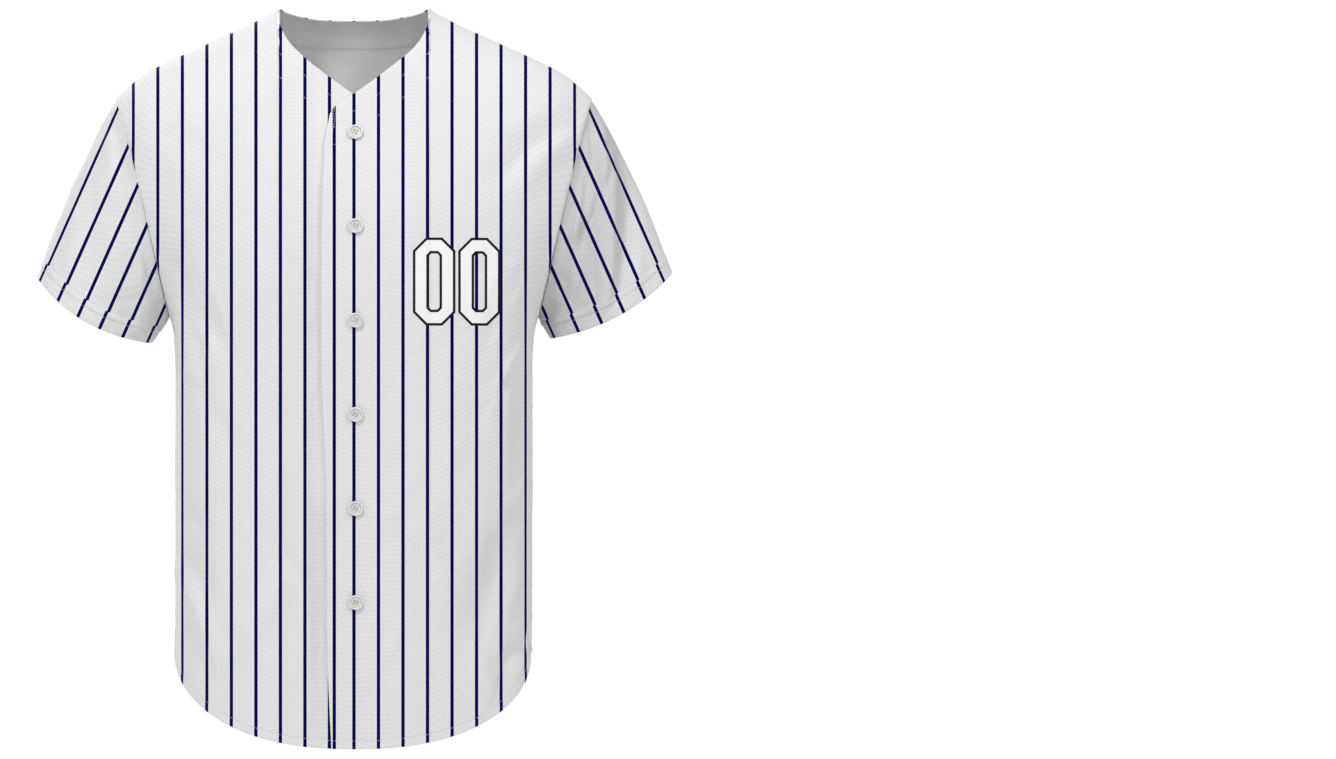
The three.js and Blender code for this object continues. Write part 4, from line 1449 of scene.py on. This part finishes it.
@dataclass
class BackPanel(BodyPanel):
    """The back of the body, in one piece."""

    neck_stitches: tuple[float, ...] = (14.0, 26.0)
    lip_rows: int = 4

    def build(self, finishes: list) -> "Garment":
        """Build the panel's cloth from its two halves, and the paths of its stitching."""
        row, column = self.rows_and_columns()
        left, left_fields = self.half_sheet(row, column, Side.LEFT)
        right, right_fields = self.half_sheet(row, column, Side.RIGHT)
        points = self.joined(right, left)
        fields = {name: self.joined(right_fields[name], left_fields[name]) for name in left_fields}
        sheet = Sheet(points, np.array([0.0, 1.0, 0.0]), fields=fields)
        wide = np.concatenate([-column[:0:-1], column])
        top = points[0]
        neck = top[np.abs(wide) <= self.neck_columns + 1e-9]
        shoulders = [
            top[wide >= self.neck_columns - 1e-9],
            top[wide <= -self.neck_columns + 1e-9],
        ]
        seams = [points[:, 0], points[:, -1], *shoulders]
        near_seam = distance_to_nearest(points, seams)
        rise = self.fold_rise(points, [Side.LEFT, Side.RIGHT])
        sideways = np.abs(sheet.normals[..., 0])
        sheet.move_out(rise * smooth(near_seam / self.seam_fade))
        middle = len(column) - 1
        numbers, widths = [], []
        for side, part in ((Side.RIGHT, np.s_[:, middle::-1]), (Side.LEFT, np.s_[:, middle:])):
            numbers.append(self.half_stripes(sheet.points[part], sideways[part], side))
            widths.append(STRIPES.widths(sheet.points[part], numbers[-1]))
        sheet.fields["stripe"] = self.joined(*numbers)
        sheet.fields["spacing"] = self.joined(*widths)
        return self.complete(sheet, seams, [], neck, finishes)

    def joined(self, right: Array, left: Array) -> Array:
        """Return one grid from two halves that share their first column."""
        return np.concatenate([right[:, :0:-1], left], axis=1)


@dataclass(frozen=True)
class SleeveCrease:
    """A crease of a sleeve, down it from 0 to 1 and round it in degrees from the top.

    Its rise, lean, hat and end are as a Fold's.
    """

    angle: float
    to_angle: float
    start: float
    end: float
    rise: float
    width: float
    lean: float = 0.0
    hat: float = 0.25
    hat_width: float = 2.2
    end_share: float = 0.12

    def height(self, t: Array, degrees: Array) -> Array:
        """Return the crease's rise: a bell round the sleeve that fades at its ends."""
        along = np.clip((t - self.start) / (self.end - self.start), 0.0, 1.0)
        across = degrees - lerp(self.angle, self.to_angle, along)
        across = (across + 180) % 360 - 180
        away = across / (self.width * (1 + self.lean * np.tanh(across / self.width)))
        past = np.maximum(0, np.maximum(self.start - t, t - self.end))
        across_it = bell(away, 0, 1) - self.hat * bell(away, 0, self.hat_width)
        return self.rise * across_it * bell(past, 0, self.end_share)


# The creases that run down each sleeve, and then those that hang on its faces.
SLEEVE_CREASES = {
    Side.LEFT: [
        SleeveCrease(62, 46, 0.1, 0.7, -2.0, 11, 0.35),
        SleeveCrease(126, 116, 0.1, 0.8, -1.6, 8, 0.3),
        SleeveCrease(262, 284, 0.15, 0.85, -2.4, 9, -0.3),
        SleeveCrease(150, 138, 0.05, 0.6, -1.8, 8),
    ],
    Side.RIGHT: [
        SleeveCrease(70, 60, 0.2, 0.9, -1.6, 14, 0.3),
        SleeveCrease(130, 118, 0.05, 0.7, -1.6, 8),
        SleeveCrease(296, 306, 0.1, 0.95, -2.4, 12, 0.35),
        SleeveCrease(258, 276, 0.15, 0.85, -2.0, 9, -0.3),
    ],
}
SLEEVE_FOLDS = {
    (Face.FRONT, Side.LEFT): [
        Fold(256, -146, 256, -312, 5.0, 9, bow=-8, lean=0.3),
        Fold(278, -156, 272, -304, -6.0, 9.5, bow=-9, lean=-0.2),
        Fold(252, -142, 256, -196, 3.4, 4.5, bow=-2),
        Fold(246, -160, 234, -246, -3.2, 5, bow=3),
        Fold(266, -160, 268, -200, 3.0, 4.5),
        Fold(256, -188, 234, -240, -4.2, 5, bow=-3, lean=0.3),
        Fold(234, -190, 212, -266, 3.2, 6, bow=-3),
        Fold(228, -262, 218, -318, 2.6, 7),
        Fold(242, -250, 246, -302, -2.2, 6),
        Fold(292, -236, 288, -304, 2.4, 8),
        Fold(238, -130, 243, -168, 2.8, 4.5),
    ],
    (Face.FRONT, Side.RIGHT): [
        Fold(-262, -150, -266, -300, -2.6, 10, bow=7, lean=0.2),
        Fold(-244, -170, -240, -300, 2.0, 9, bow=5),
        Fold(-234, -150, -222, -262, -2.4, 7, bow=-4, lean=0.3),
        Fold(-226, -206, -204, -300, 1.8, 7, bow=3),
        Fold(-250, -210, -232, -306, -1.6, 7, bow=-4),
        Fold(-284, -220, -292, -290, 1.5, 9, bow=3),
        Fold(-212, -232, -196, -306, -2.2, 6, bow=2),
    ],
    (Face.BACK, Side.LEFT): [
        Fold(240, -138, 252, -304, -3.4, 9, bow=7, lean=0.25),
        Fold(258, -150, 268, -300, 2.8, 9, bow=8),
        Fold(232, -180, 222, -292, 2.2, 7, bow=-5),
        Fold(224, -214, 206, -300, -2.6, 6, bow=-3),
        Fold(276, -200, 288, -296, -1.8, 8, bow=4),
    ],
    (Face.BACK, Side.RIGHT): [
        Fold(-236, -140, -258, -306, -3.8, 9, bow=-8, lean=0.3),
        Fold(-252, -150, -276, -300, 3.0, 9, bow=-8),
        Fold(-230, -186, -224, -292, 2.2, 7, bow=5),
        Fold(-222, -214, -204, -300, -2.4, 6, bow=3),
        Fold(-280, -206, -294, -296, -1.6, 8, bow=-4),
    ],
}


# Where the first stripe of a sleeve's face runs in the picture: across, at a place down it.
SLEEVE_STRIPES = {
    (Face.FRONT, Side.LEFT): (603.0, 140.0),
    (Face.FRONT, Side.RIGHT): (103.8, 140.0),
    (Face.BACK, Side.LEFT): (738.9, 200.0),
    (Face.BACK, Side.RIGHT): (1208.0, 200.0),
}


@dataclass
class Sleeve:
    """A set-in sleeve, sewn into a tube, with a wide turned hem."""

    name: str
    side: Side
    cuff_x: float
    cuff_z: float
    half_x: float
    half_z: float
    drop: float
    half_depth: float = 58.0
    length: float = 212.0
    columns: int = 150
    bulge_top: float = 4.5
    bulge_face: float = 3.0
    step: float = 2.7
    tuck: float = 2.4
    stitches: tuple[float, ...] = (12.6, 19.5)
    picture_spacing: float = 27.0
    slope: float = 0.445
    edge_turn: float = 14.0
    top_bow: float = 0.16
    recess: float = 5.2
    hollow: float = 3.0
    fold_gain: float = 1.0
    hem_swell: float = 0.4
    hem_ply: float = 0.3
    hem_groove: float = 0.28
    cuff_roll: float = 0.3
    cuff_wave: float = 0.8
    rumple: float = 0.5
    seam_dip: float = 1.3
    under_dip: float = 0.6

    def surface(self, t: Array, turn: Array) -> Array:
        """Work out the sleeve as if on +X, from the armhole (t = 0) to the cuff (t = 1).

        Each line round it joins the armhole's edge to an ellipse at the cuff, swollen a
        little half way down by a sine.

        Args:
            t: How far down the sleeve, rows by 1.
            turn: How far round it from the top over the front, 1 by columns, in radians.

        Returns:
            Grid of points.
        """
        front = turn <= np.pi
        row = np.where(front, turn, 2 * np.pi - turn) * OUTLINE.armhole_rows / np.pi
        edge = OUTLINE.outer_edge(row)
        depth = np.where(front, -edge["depth"], edge["depth"])
        start = np.stack([edge["x"], depth, edge["z"]], axis=-1)
        length = np.hypot(self.half_x, self.half_z)
        axis = np.array([self.half_z, 0.0, -self.half_x]) / length
        out = np.array([self.half_x, 0.0, self.half_z]) / length
        cos, sin = np.cos(turn), np.sin(turn)
        x, z = self.cuff_x + self.half_x * cos, self.cuff_z + self.half_z * cos
        end = np.stack([x, -self.half_depth * sin, z], axis=-1)
        end = end + axis * (self.drop * sin**2)[..., None]
        away = out * cos[..., None] + np.array([0.0, -1.0, 0.0]) * sin[..., None]
        bulge = self.bulge_top * (1 + cos) / 2 + self.bulge_face * sin**2
        creases = sum(c.height(t, np.degrees(turn)) for c in SLEEVE_CREASES[self.side])
        held = np.clip(t, 0.0, 1.0)
        rise = np.sin(np.pi * held) * bulge + creases * smooth(4 * held)
        return lerp(start, end, t[..., None]) + away * rise[..., None]

    def face_numbers(self, face: Face, points: Array) -> Array:
        """Number the stripes of one face: straight and aslant in its picture."""
        first, level = SLEEVE_STRIPES[(face, self.side)]
        sign = -face.value * self.side.value
        across, down = VIEW.place(face, points)
        return (sign * (across - first) - self.slope * (down - level)) / self.picture_spacing

    def stripe_numbers(self, points: Array, turn: Array) -> Array:
        """Number the stripes: straight in the picture on both faces, joined over the top.

        Over the top fold the numbers run evenly by the cloth from the front's to the
        back's, and beyond the underarm turns they keep the stripes' spacing on the cloth.
        """
        front = self.face_numbers(Face.FRONT, points)
        back = self.face_numbers(Face.BACK, points)
        along = along_steps(np.concatenate([points, points[:, :1]], axis=1), 1)
        whole, along = along[:, -1:], along[:, :-1]
        edge = np.radians(self.edge_turn)
        turns = [edge, np.pi - edge, np.pi, np.pi + edge, 2 * np.pi - edge]
        first, under, middle, over, last = (int(n) for n in np.searchsorted(turn, turns))
        start = along[:, last : last + 1]
        top_gap = whole - start + along[:, first : first + 1]
        sum_at_top = front[:, first] + back[:, last] + top_gap[:, 0] / STRIPES.spacing
        behind = np.round(np.median(sum_at_top)) - back
        numbers = np.where(turn < np.pi, front, behind)
        at_back, at_front = behind[:, last : last + 1], front[:, first : first + 1]
        for part, lap in ((slice(first), whole), (slice(last, None), 0.0)):
            share = (along[:, part] + lap - start) / top_gap
            bow = self.top_bow * np.sin(np.pi * share)
            numbers[:, part] = lerp(at_back, at_front, share) - bow
        halves = ((front, under, slice(under, middle)), (behind, over, slice(middle, over)))
        for own, kept, part in halves:
            cloth = (along[:, kept : kept + 1] - along[:, part]) / STRIPES.spacing
            numbers[:, part] = own[:, kept : kept + 1] + cloth
        return numbers

    def face_folds(self, points: Array, turn: Array) -> Array:
        """Return the rise of the folds that hang down the front and back faces."""
        x, z = points[..., 0], points[..., 2]
        rise = np.zeros(x.shape)
        for face in Face:
            facing = smooth(-face.value * np.sin(turn) * 2.2)[None]
            rise += facing * sum(f.height(x, z) for f in SLEEVE_FOLDS[(face, self.side)])
        return rise

    def relief(self, hem: Array, seam: Array, t: Array, turn: Array) -> Array:
        """Return how far the sleeve's unevenness, edges and hollows stand out, folds apart.

        It sums soft waves that fade at both ends, three broad ones that grow towards the
        cuff, the dip into the armhole's seam, the turned hem with a groove at each row of
        stitches, a recess beside the armhole and a broad hollow on the front face.
        """
        down = self.length * t
        fade = smooth(seam / 14) * smooth(hem / 24)
        seed = 70 + self.side.value
        rise = self.rumple * fade * soft_relief(np.degrees(turn) * 1.1, down, seed, 36, 90, 10)
        wave = np.sin(turn * 3 + 1) * 0.5 + np.sin(turn * 5) * 0.3
        rise = rise + self.cuff_wave * wave * smooth(down / 180)
        rise = rise - self.seam_dip * bell(seam, 0.0, 4.2) - self.under_dip * (t < 0)
        rise = rise + self.hem_ply * smooth((self.stitches[-1] + 1.0 - hem) / 1.4)
        for at in self.stitches:
            rise = rise - self.hem_groove * bell(hem, at, 1.0)
        rise = rise - self.cuff_roll * bell(hem, 0.0, 1.3)
        rise = rise + self.hem_swell * bell(hem, self.stitches[0] + 3.0, 2.0)
        beside = bell(seam, 10.0, 8.0) * np.abs(np.sin(turn)) * smooth(hem / 30)
        broad = np.sin(np.pi * np.clip(t, 0, 1)) * np.maximum(np.sin(turn - 0.25), 0) ** 2
        return rise - self.recess * beside - self.hollow * broad

    def build(self, finishes: list) -> "Garment":
        """Build the sleeve's cloth and the path of its stitching.

        The first two rows run on under the body's edge, a little inside it.
        """
        turn = np.linspace(0, 2 * np.pi, self.columns, endpoint=False)
        down = fine_ended(self.length, self.step, FINE_ENDS)
        t = (np.concatenate([[-self.tuck, -self.tuck / 2], down]) / self.length)[:, None]
        points = self.surface(t, turn[None])
        mirror = np.array([self.side.value, 1.0, 1.0])
        out = np.stack([np.cos(turn), -np.sin(turn), 0 * turn], axis=-1) * mirror
        fields = {"u": along_steps(points, 1), "v": along_steps(points, 0)}
        sheet = Sheet(points * mirror, out[None], closed=True, fields=fields)
        hem = distance_to_line(sheet.points, closed_line(sheet.points[-1]))
        seam = distance_to_line(sheet.points, closed_line(sheet.points[2]))
        seam = np.where(t < 0, 0.0, seam)
        folds = self.fold_gain * self.face_folds(sheet.points, turn)
        folds = folds * smooth(seam / 12) * smooth(hem / 22)
        sheet.move_out(self.relief(hem, seam, t, turn[None]) + folds)
        numbers = self.stripe_numbers(sheet.points, turn)
        widths = STRIPES.widths(sheet.points, numbers)
        sheet.fields.update(hem=hem, seam=seam, stripe=numbers, spacing=widths)
        made = ClothWall().build(self.name, sheet, finishes)
        LOG.info("%s: %d points, cut %.4f m2", self.name, points[..., 0].size, sheet.area())
        row = sheet.line_where(-hem, -self.stitches[0])
        return Garment(made, sheet, [tuple(closed_line(line) for line in row)])


@dataclass
class NeckFacing:
    """The strip inside the back neck, just inside the back's cloth."""

    name: str
    back: BackPanel
    first_row: int = 4
    last_row: float = 3.0
    inside: float = 1.13
    thickness: float = 0.28

    def build(self, cloth: Sheet, finish: bpy.types.Material) -> "Garment":
        """Build the strip on the back's own cloth, moved in by the back's thickness."""
        row, column = self.back.rows_and_columns()
        rows = int(np.searchsorted(row, self.last_row))
        reach = int(np.searchsorted(column, self.back.neck_columns - 0.02))
        middle = len(column) - 1
        part = (slice(self.first_row, rows), slice(middle - reach + 1, middle + reach))
        points = cloth.points[part]
        fields = {name: cloth.fields[name][part] for name in ("u", "v")}
        sheet = Sheet(points, np.array([0.0, 1.0, 0.0]), fields=fields)
        sheet.normals = cloth.normals[part]
        wall = ClothWall(thickness=self.thickness, below=self.inside, edge_round=0.2)
        made = wall.build(self.name, sheet, [finish, finish])
        LOG.info("%s: cut %.4f m2", self.name, sheet.area())
        inner = points[-1] - sheet.normals[-1] * (self.inside + self.thickness)
        return Garment(made, sheet, [(inner, -sheet.normals[-1])])


@dataclass
class Garment:
    """A finished piece of cloth with its sheet and the paths of its stitching."""

    piece: bpy.types.Object
    sheet: Sheet
    rows: list


@dataclass(frozen=True)
class ShirtButtons:
    """Six dished four-hole buttons, sewn on with thread, down the left front."""

    count: int = 6
    x: float = 1.7
    top_z: float = -133.8
    spacing: float = 95.3
    seat: float = 0.7
    turn: float = 0.4
    ring: float = 1.98
    hole: float = 0.85
    hole_depth: float = 1.25
    dish_rings: int = 34
    rim_rings: int = 60
    sides: int = 96
    strand_gap: float = 0.3
    # How dark the painted shade makes the dish, its step, the rim's edge and the holes.
    dish_shade: float = 0.5
    step_shade: float = 1.4
    rim_shade: float = 1.3
    hole_shade: float = 2.0
    dish_edge: float = 5.3
    step_radius: float = 5.5
    rim_edge: float = 7.1
    hole_reach: float = 4.0
    hole_height: float = 1.3
    upper_height: float = 0.9
    profile: tuple[tuple[float, float], ...] = (
        *((0.0, 1.5), (2.6, 1.5), (4.6, 1.62), (5.5, 2.0), (6.1, 2.62), (6.6, 2.8)),
        *((7.15, 2.55), (7.42, 1.9), (7.5, 1.2), (7.2, 0.45), (6.5, 0.05), (5.5, 0.0)),
        (0.4, 0.0),
    )

    def outline(self) -> Array:
        """Return the half section as radius and height, smooth through the profile."""
        rows = np.array(self.profile)
        dish = np.linspace(0.02, 2, self.dish_rings)
        rim = np.linspace(2.08, len(rows) - 1, self.rim_rings)
        return curve_through(rows, np.concatenate([dish, rim]))

    def holes(self) -> Array:
        """Return the places of the four holes, evenly round a ring."""
        angle = self.turn + np.pi / 2 * np.arange(4)
        return self.ring * np.stack([np.cos(angle), np.sin(angle)], axis=-1)

    def disc(self) -> tuple[Array, Array, Array]:
        """Turn the section round the axis and sink four holes into its dish.

        Returns:
            Points, quads and the triangles that close the two poles.
        """
        section = self.outline()
        angle = np.linspace(0, 2 * np.pi, self.sides, endpoint=False)
        radius, height = section[:, :1], section[:, 1:]
        x, y = radius * np.cos(angle), radius * np.sin(angle)
        upper = (np.arange(len(section)) < self.dish_rings)[:, None]
        away = np.min([np.hypot(x - a, y - b) for a, b in self.holes()], axis=0)
        sunk = self.hole_depth * smooth((self.hole - away) / 0.22 + 0.5) * upper
        points = np.stack([x, y, height - sunk], axis=-1).reshape(-1, 3)
        wide, quads = ring_quads(len(section), self.sides)
        upper_fan = ring_fan(len(points), wide[0])
        under_fan = ring_fan(len(points) + 1, wide[-1])[:, ::-1]
        points = np.vstack([points, [[0, 0, section[0, 1]], [0, 0, section[-1, 1]]]])
        return points, quads, np.concatenate([upper_fan, under_fan])

    def shade(self, disc: Array) -> Array:
        """Return each point's painted shade: in the dish, at its step, at the rim's outer edge and
        in the holes.
        """
        radius, height = np.hypot(disc[:, 0], disc[:, 1]), disc[:, 2]
        dish = self.dish_shade * smooth((self.dish_edge - radius) / 0.5)
        dish = dish + self.step_shade * bell(radius, self.step_radius, 0.4)
        rim = self.rim_shade * smooth((radius - self.rim_edge) / 0.3)
        holes = (height < self.hole_height) & (radius < self.hole_reach)
        dish = np.where(height > self.upper_height, dish, 0.0)
        return dish + rim + self.hole_shade * holes

    def thread(self) -> tuple[Array, Array]:
        """Return the thread between the holes: two bars, each of three strands."""
        points, faces, start = [], [], 0
        maker = StitchMaker(
            pitch=20.0,
            length=4.2,
            radius=0.2,
            shape_along=(-0.5, -0.42, -0.3, 0.0, 0.3, 0.42, 0.5),
            shape_radius=(0.8, 1.0, 1.0, 1.05, 1.0, 1.0, 0.8),
            shape_height=(-1.3, -0.3, 0.22, 0.42, 0.22, -0.3, -1.3),
        )
        holes, reach = self.holes(), maker.pitch / 2 + 0.1
        for a, b in ((holes[0], holes[1]), (holes[3], holes[2])):
            run = unit(b - a)
            side = np.array([-run[1], run[0]])
            for shift in (-self.strand_gap, 0.0, self.strand_gap):
                middle = (a + b) / 2 + side * shift
                line = np.array([middle - run * reach, middle + run * reach])
                path = np.column_stack([line, [self.profile[0][1]] * 2])
                places, quads = maker.row(path, np.tile([0.0, 0.0, 1.0], (2, 1)))
                points.append(places)
                faces.append(quads + start)
                start += len(places)
        return np.concatenate(points), np.concatenate(faces)

    def seats(self, sheet: Sheet) -> list[tuple[Array, Array]]:
        """Return where each button lies on the left front, with the cloth's normal there."""
        flat, normals = sheet.points.reshape(-1, 3), sheet.normals.reshape(-1, 3)
        found = []
        for k in range(self.count):
            z = self.top_z - self.spacing * k
            near = np.argmin((flat[:, 0] - self.x) ** 2 + (flat[:, 2] - z) ** 2)
            place, normal = flat[near], normals[near]
            dx, dz = self.x - place[0], z - place[2]
            y = place[1] - (normal[0] * dx + normal[2] * dz) / normal[1]
            found.append((np.array([self.x, y, z]), normal))
        return found

    def build(self, sheet: Sheet, plastic: bpy.types.Material, thread: bpy.types.Material) -> list:
        """Build the buttons and their threads.

        Args:
            sheet: The left front's cloth.
            plastic: Finish of the buttons.
            thread: Finish of the threads.

        Returns:
            Pairs of a button and its thread, from the neck down.
        """
        disc, quads, triangles = self.disc()
        strands, strand_quads = self.thread()
        shade = self.shade(disc).astype(np.float32)
        made = []
        for k, (place, normal) in enumerate(self.seats(sheet), 1):
            side = unit(np.cross([0.0, 0.0, 1.0], normal))
            basis = np.stack([side, np.cross(normal, side), normal])
            at = place + normal * self.seat
            body = mesh_object(f"button_{k}_body", disc @ basis + at, [quads, triangles], [plastic])
            sewn = mesh_object(f"button_{k}_thread", strands @ basis + at, [strand_quads], [thread])
            attribute = body.data.attributes.new("shade", "FLOAT", "POINT")
            attribute.data.foreach_set("value", shade)
            made.append((body, sewn))
        return made


@dataclass(frozen=True)
class Lamp:
    """A square area light that faces a height on the jersey's axis, in metres and watts."""

    name: str
    place: tuple[float, float, float]
    size: float
    power: float
    aim_z: float = -0.38

    def build(self) -> None:
        """Add the light to the scene."""
        light = bpy.data.lights.new(self.name, "AREA")
        light.shape = "SQUARE"
        light.size = self.size
        light.energy = self.power
        made = bpy.data.objects.new(self.name, light)
        made.location = self.place
        aim = Vector((0.0, 0.0, self.aim_z)) - Vector(self.place)
        made.rotation_euler = aim.to_track_quat("-Z", "Y").to_euler()
        bpy.context.scene.collection.objects.link(made)


@dataclass(frozen=True)
class Studio:
    """A plain pale floor far below, a key light from the upper left, fills, and the camera."""

    floor_z: float = -1.25
    floor_radius: float = 3.0
    floor_fade: float = 1.1
    floor_rings: int = 24
    floor_sides: int = 96
    floor_colour: Colour = (0.86, 0.86, 0.87, 1.0)
    floor_glow: float = 0.12
    distance: float = 4.8
    axis_z: float = -0.3845
    lens: float = 124.9
    shift_x: float = 0.2351
    surroundings: float = 0.46
    backdrop: float = 1.02
    lamps: tuple[Lamp, ...] = (
        Lamp("key_upper_left", (-1.0, -1.8, 1.7), 0.5, 32.0),
        Lamp("fill_right", (2.2, -2.6, 1.2), 1.2, 16.0),
        Lamp("fill_left", (-3.0, -1.0, 0.4), 1.2, 5.5),
        Lamp("neck_fill", (0.75, -0.8, 0.75), 0.4, 3.3, aim_z=-0.05),
        Lamp("back_left", (-1.4, 2.4, 1.25), 1.2, 46.0),
        Lamp("back_right", (3.0, 3.0, 0.6), 2.0, 14.0),
    )

    def floor(self) -> bpy.types.Object:
        """Build the floor: a disc of rings whose finish fades out towards its rim."""
        z = self.floor_z / MM
        radius = np.linspace(0.0, self.floor_radius, self.floor_rings + 1)[1:, None] / MM
        angle = np.linspace(0, 2 * np.pi, self.floor_sides, endpoint=False)
        x, y = radius * np.cos(angle), radius * np.sin(angle)
        grid = np.stack([x, y, np.full(x.shape, z)], axis=-1).reshape(-1, 3)
        wide, quads = ring_quads(*x.shape)
        material, n, shader = new_material("studio_floor")
        shader.inputs["Base Color"].default_value = self.floor_colour
        shader.inputs["Roughness"].default_value = 0.9
        shader.inputs["Specular IOR Level"].default_value = 0.1
        shader.inputs["Emission Color"].default_value = (1.0, 1.0, 1.0, 1.0)
        shader.inputs["Emission Strength"].default_value = self.floor_glow
        place = n.add("ShaderNodeTexCoord").outputs["Object"]
        flat = n.vector("MULTIPLY", "Vector", {0: place, 1: (1.0, 1.0, 0.0)})
        away = n.vector("LENGTH", "Value", {0: flat})
        clear = n.step(away, self.floor_fade, self.floor_radius * 0.97)
        n.put(shader.inputs["Alpha"], n.math("SUBTRACT", 1.0, clear))
        faces = [quads, ring_fan(len(grid), wide[0])]
        return mesh_object("studio_floor", np.vstack([grid, [[0, 0, z]]]), faces, [material])

    def world(self) -> None:
        """Make the surroundings white to the camera and softer as light."""
        world = bpy.data.worlds.new("white_studio")
        bpy.context.scene.world = world
        world.use_nodes = True
        nodes = Nodes(world.node_tree)
        background = world.node_tree.nodes["Background"]
        background.inputs["Color"].default_value = (1.0, 1.0, 1.0, 1.0)
        seen = nodes.add("ShaderNodeLightPath").outputs["Is Camera Ray"]
        more = nodes.math("MULTIPLY", seen, self.backdrop - self.surroundings)
        nodes.put(background.inputs["Strength"], nodes.math("ADD", more, self.surroundings))

    def camera(self) -> None:
        """Create the camera in front of the jersey, shifted as in the photograph."""
        lens = bpy.data.cameras.new("photo_camera")
        lens.lens = self.lens
        lens.sensor_width = 36.0
        lens.shift_x = self.shift_x
        lens.clip_end = 100.0
        made = bpy.data.objects.new("photo_camera", lens)
        made.location = (0.0, -self.distance, self.axis_z)
        made.rotation_euler = (np.pi / 2, 0.0, 0.0)
        bpy.context.scene.collection.objects.link(made)
        bpy.context.scene.camera = made

    def build(self) -> None:
        """Build the floor, the surroundings, the lights and the camera."""
        self.floor()
        self.world()
        for lamp in self.lamps:
            lamp.build()
        self.camera()
        bpy.context.scene.view_settings.view_transform = "Standard"


@dataclass(frozen=True)
class ClothCut:
    """What a piece of cloth was cut from: its slot, and the cut's width and length in metres."""

    slot: str
    flat: tuple[float, float]

    def dress(self, garment: Garment, node: str, sewing: bpy.types.Object) -> None:
        """Attach a piece of cloth to the root, hide its CAD node and state the sheet that it was
        cut from.

        Args:
            garment: The finished piece.
            node: The CAD node that it stands for.
            sewing: The stitching that is sewn on it; not used.
        """
        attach(garment.piece, "root")
        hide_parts(node)
        area = min(garment.sheet.area(), self.flat[0] * self.flat[1])
        LOG.info("%s: sheet %.3f x %.3f m, %.4f m2", garment.piece.name, *self.flat, area)


CUTS = {
    "front_left": ClothCut("striped_cloth", (0.31, 0.765)),
    "front_right": ClothCut("striped_cloth", (0.31, 0.765)),
    "back": ClothCut("striped_cloth", (0.56, 0.80)),
    "sleeve_left": ClothCut("striped_cloth", (0.48, 0.27)),
    "sleeve_right": ClothCut("striped_cloth", (0.48, 0.27)),
    "neck_facing": ClothCut("plain_cloth", (0.22, 0.05)),
}


def build_cloth() -> dict[str, Garment]:
    """Make the cloth's finishes and build every piece of cloth, by its CAD node's name."""
    groups = FinishGroups()
    front_lines = (("hem", 8.0, 0.7, 0.4), ("neck", 15.0, 0.8, 0.12), ("neck", 33.0, 0.8, 0.12))
    back_lines = (("hem", 8.0, 0.7, 0.4), ("neck", 14.0, 0.8, 0.12), ("neck", 26.0, 0.8, 0.12))
    sleeve_lines = (("hem", 12.6, 0.7, 0.5), ("hem", 19.5, 0.7, 0.1))
    chest = NumberPlace(104.2, -285.4, 23.0, 19.0, 42.0, 11.0)
    shoulders = NumberPlace(-5.0, -306.0, 48.5, 41.0, 90.0, 24.0, 3.0)
    neck_jog = {"jog": 0.5, "jog_at": 3.3, "jog_from": "neck"}
    looks = {
        "front_right": dict(name="right_front_cloth", sewn=front_lines),
        "front_left": dict(name="left_front_cloth", sewn=front_lines, number=chest),
        "back": dict(name="back_cloth", sewn=back_lines, number=shoulders, **neck_jog),
        # The sleeves' shade beside the armhole is painted into their colour, strongly on the
        # wearer's left sleeve.
        "sleeve_left": dict(
            name="left_sleeve_cloth", sewn=sleeve_lines, jog=0.055, seam_painted_shade=0.43
        ),
        "sleeve_right": dict(
            name="right_sleeve_cloth", sewn=sleeve_lines, jog=-0.055, seam_painted_shade=0.08
        ),
    }
    striped = {
        node: StripedCloth(groups=groups, **look).material() for node, look in looks.items()
    }
    plain = PlainCloth("plain_cloth", groups).material()
    back = BackPanel("back_panel", Face.BACK)
    makers = {
        "front_left": FrontPanel("front_left_panel", Face.FRONT, side=Side.LEFT),
        "front_right": FrontPanel("front_right_panel", Face.FRONT, side=Side.RIGHT),
        "back": back,
        "sleeve_left": Sleeve(
            "sleeve_left_tube", Side.LEFT, 266, -308, 63, 34, 12, hollow=8.0, fold_gain=1.5
        ),
        "sleeve_right": Sleeve("sleeve_right_tube", Side.RIGHT, 268, -313, 59, 34, 14),
    }
    pieces = {node: maker.build([striped[node], plain]) for node, maker in makers.items()}
    strip = NeckFacing("neck_facing_strip", back)
    pieces["neck_facing"] = strip.build(pieces["back"].sheet, plain)
    return pieces


def main() -> None:
    """Build the studio and the jersey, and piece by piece."""
    logging.basicConfig(level=logging.INFO, format="%(message)s")
    Studio().build()
    pieces = build_cloth()
    thread = SewingThread("white_thread").material()
    # Real thread at the facing's lower edge, in a lighter copy of the thread: the extra lightness
    # is painted light against the shade under the facing's edge.
    bright_thread = SewingThread("bright_thread", (0.97, 0.97, 0.97, 1.0)).material()
    plastic = ButtonPlastic("button_plastic").material()
    maker, edge_maker = StitchMaker(), StitchMaker(length=2.6, radius=0.3)
    for node, garment in pieces.items():
        at_edge = node == "neck_facing"
        chosen, spun = (edge_maker, bright_thread) if at_edge else (maker, thread)
        sewing = chosen.build(f"{node}_stitching", garment.rows, spun)
        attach(sewing, "root")
        CUTS[node].dress(garment, node, sewing)
    buttons = ShirtButtons().build(pieces["front_left"].sheet, plastic, thread)
    for number, (body, sewn) in enumerate(buttons, 1):
        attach(body, "root")
        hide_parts(f"button_{number}")
        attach(sewn, "root")
    LOG.info("%d pieces of cloth and %d buttons", len(pieces), len(buttons))


if __name__ == "__main__":
    main()
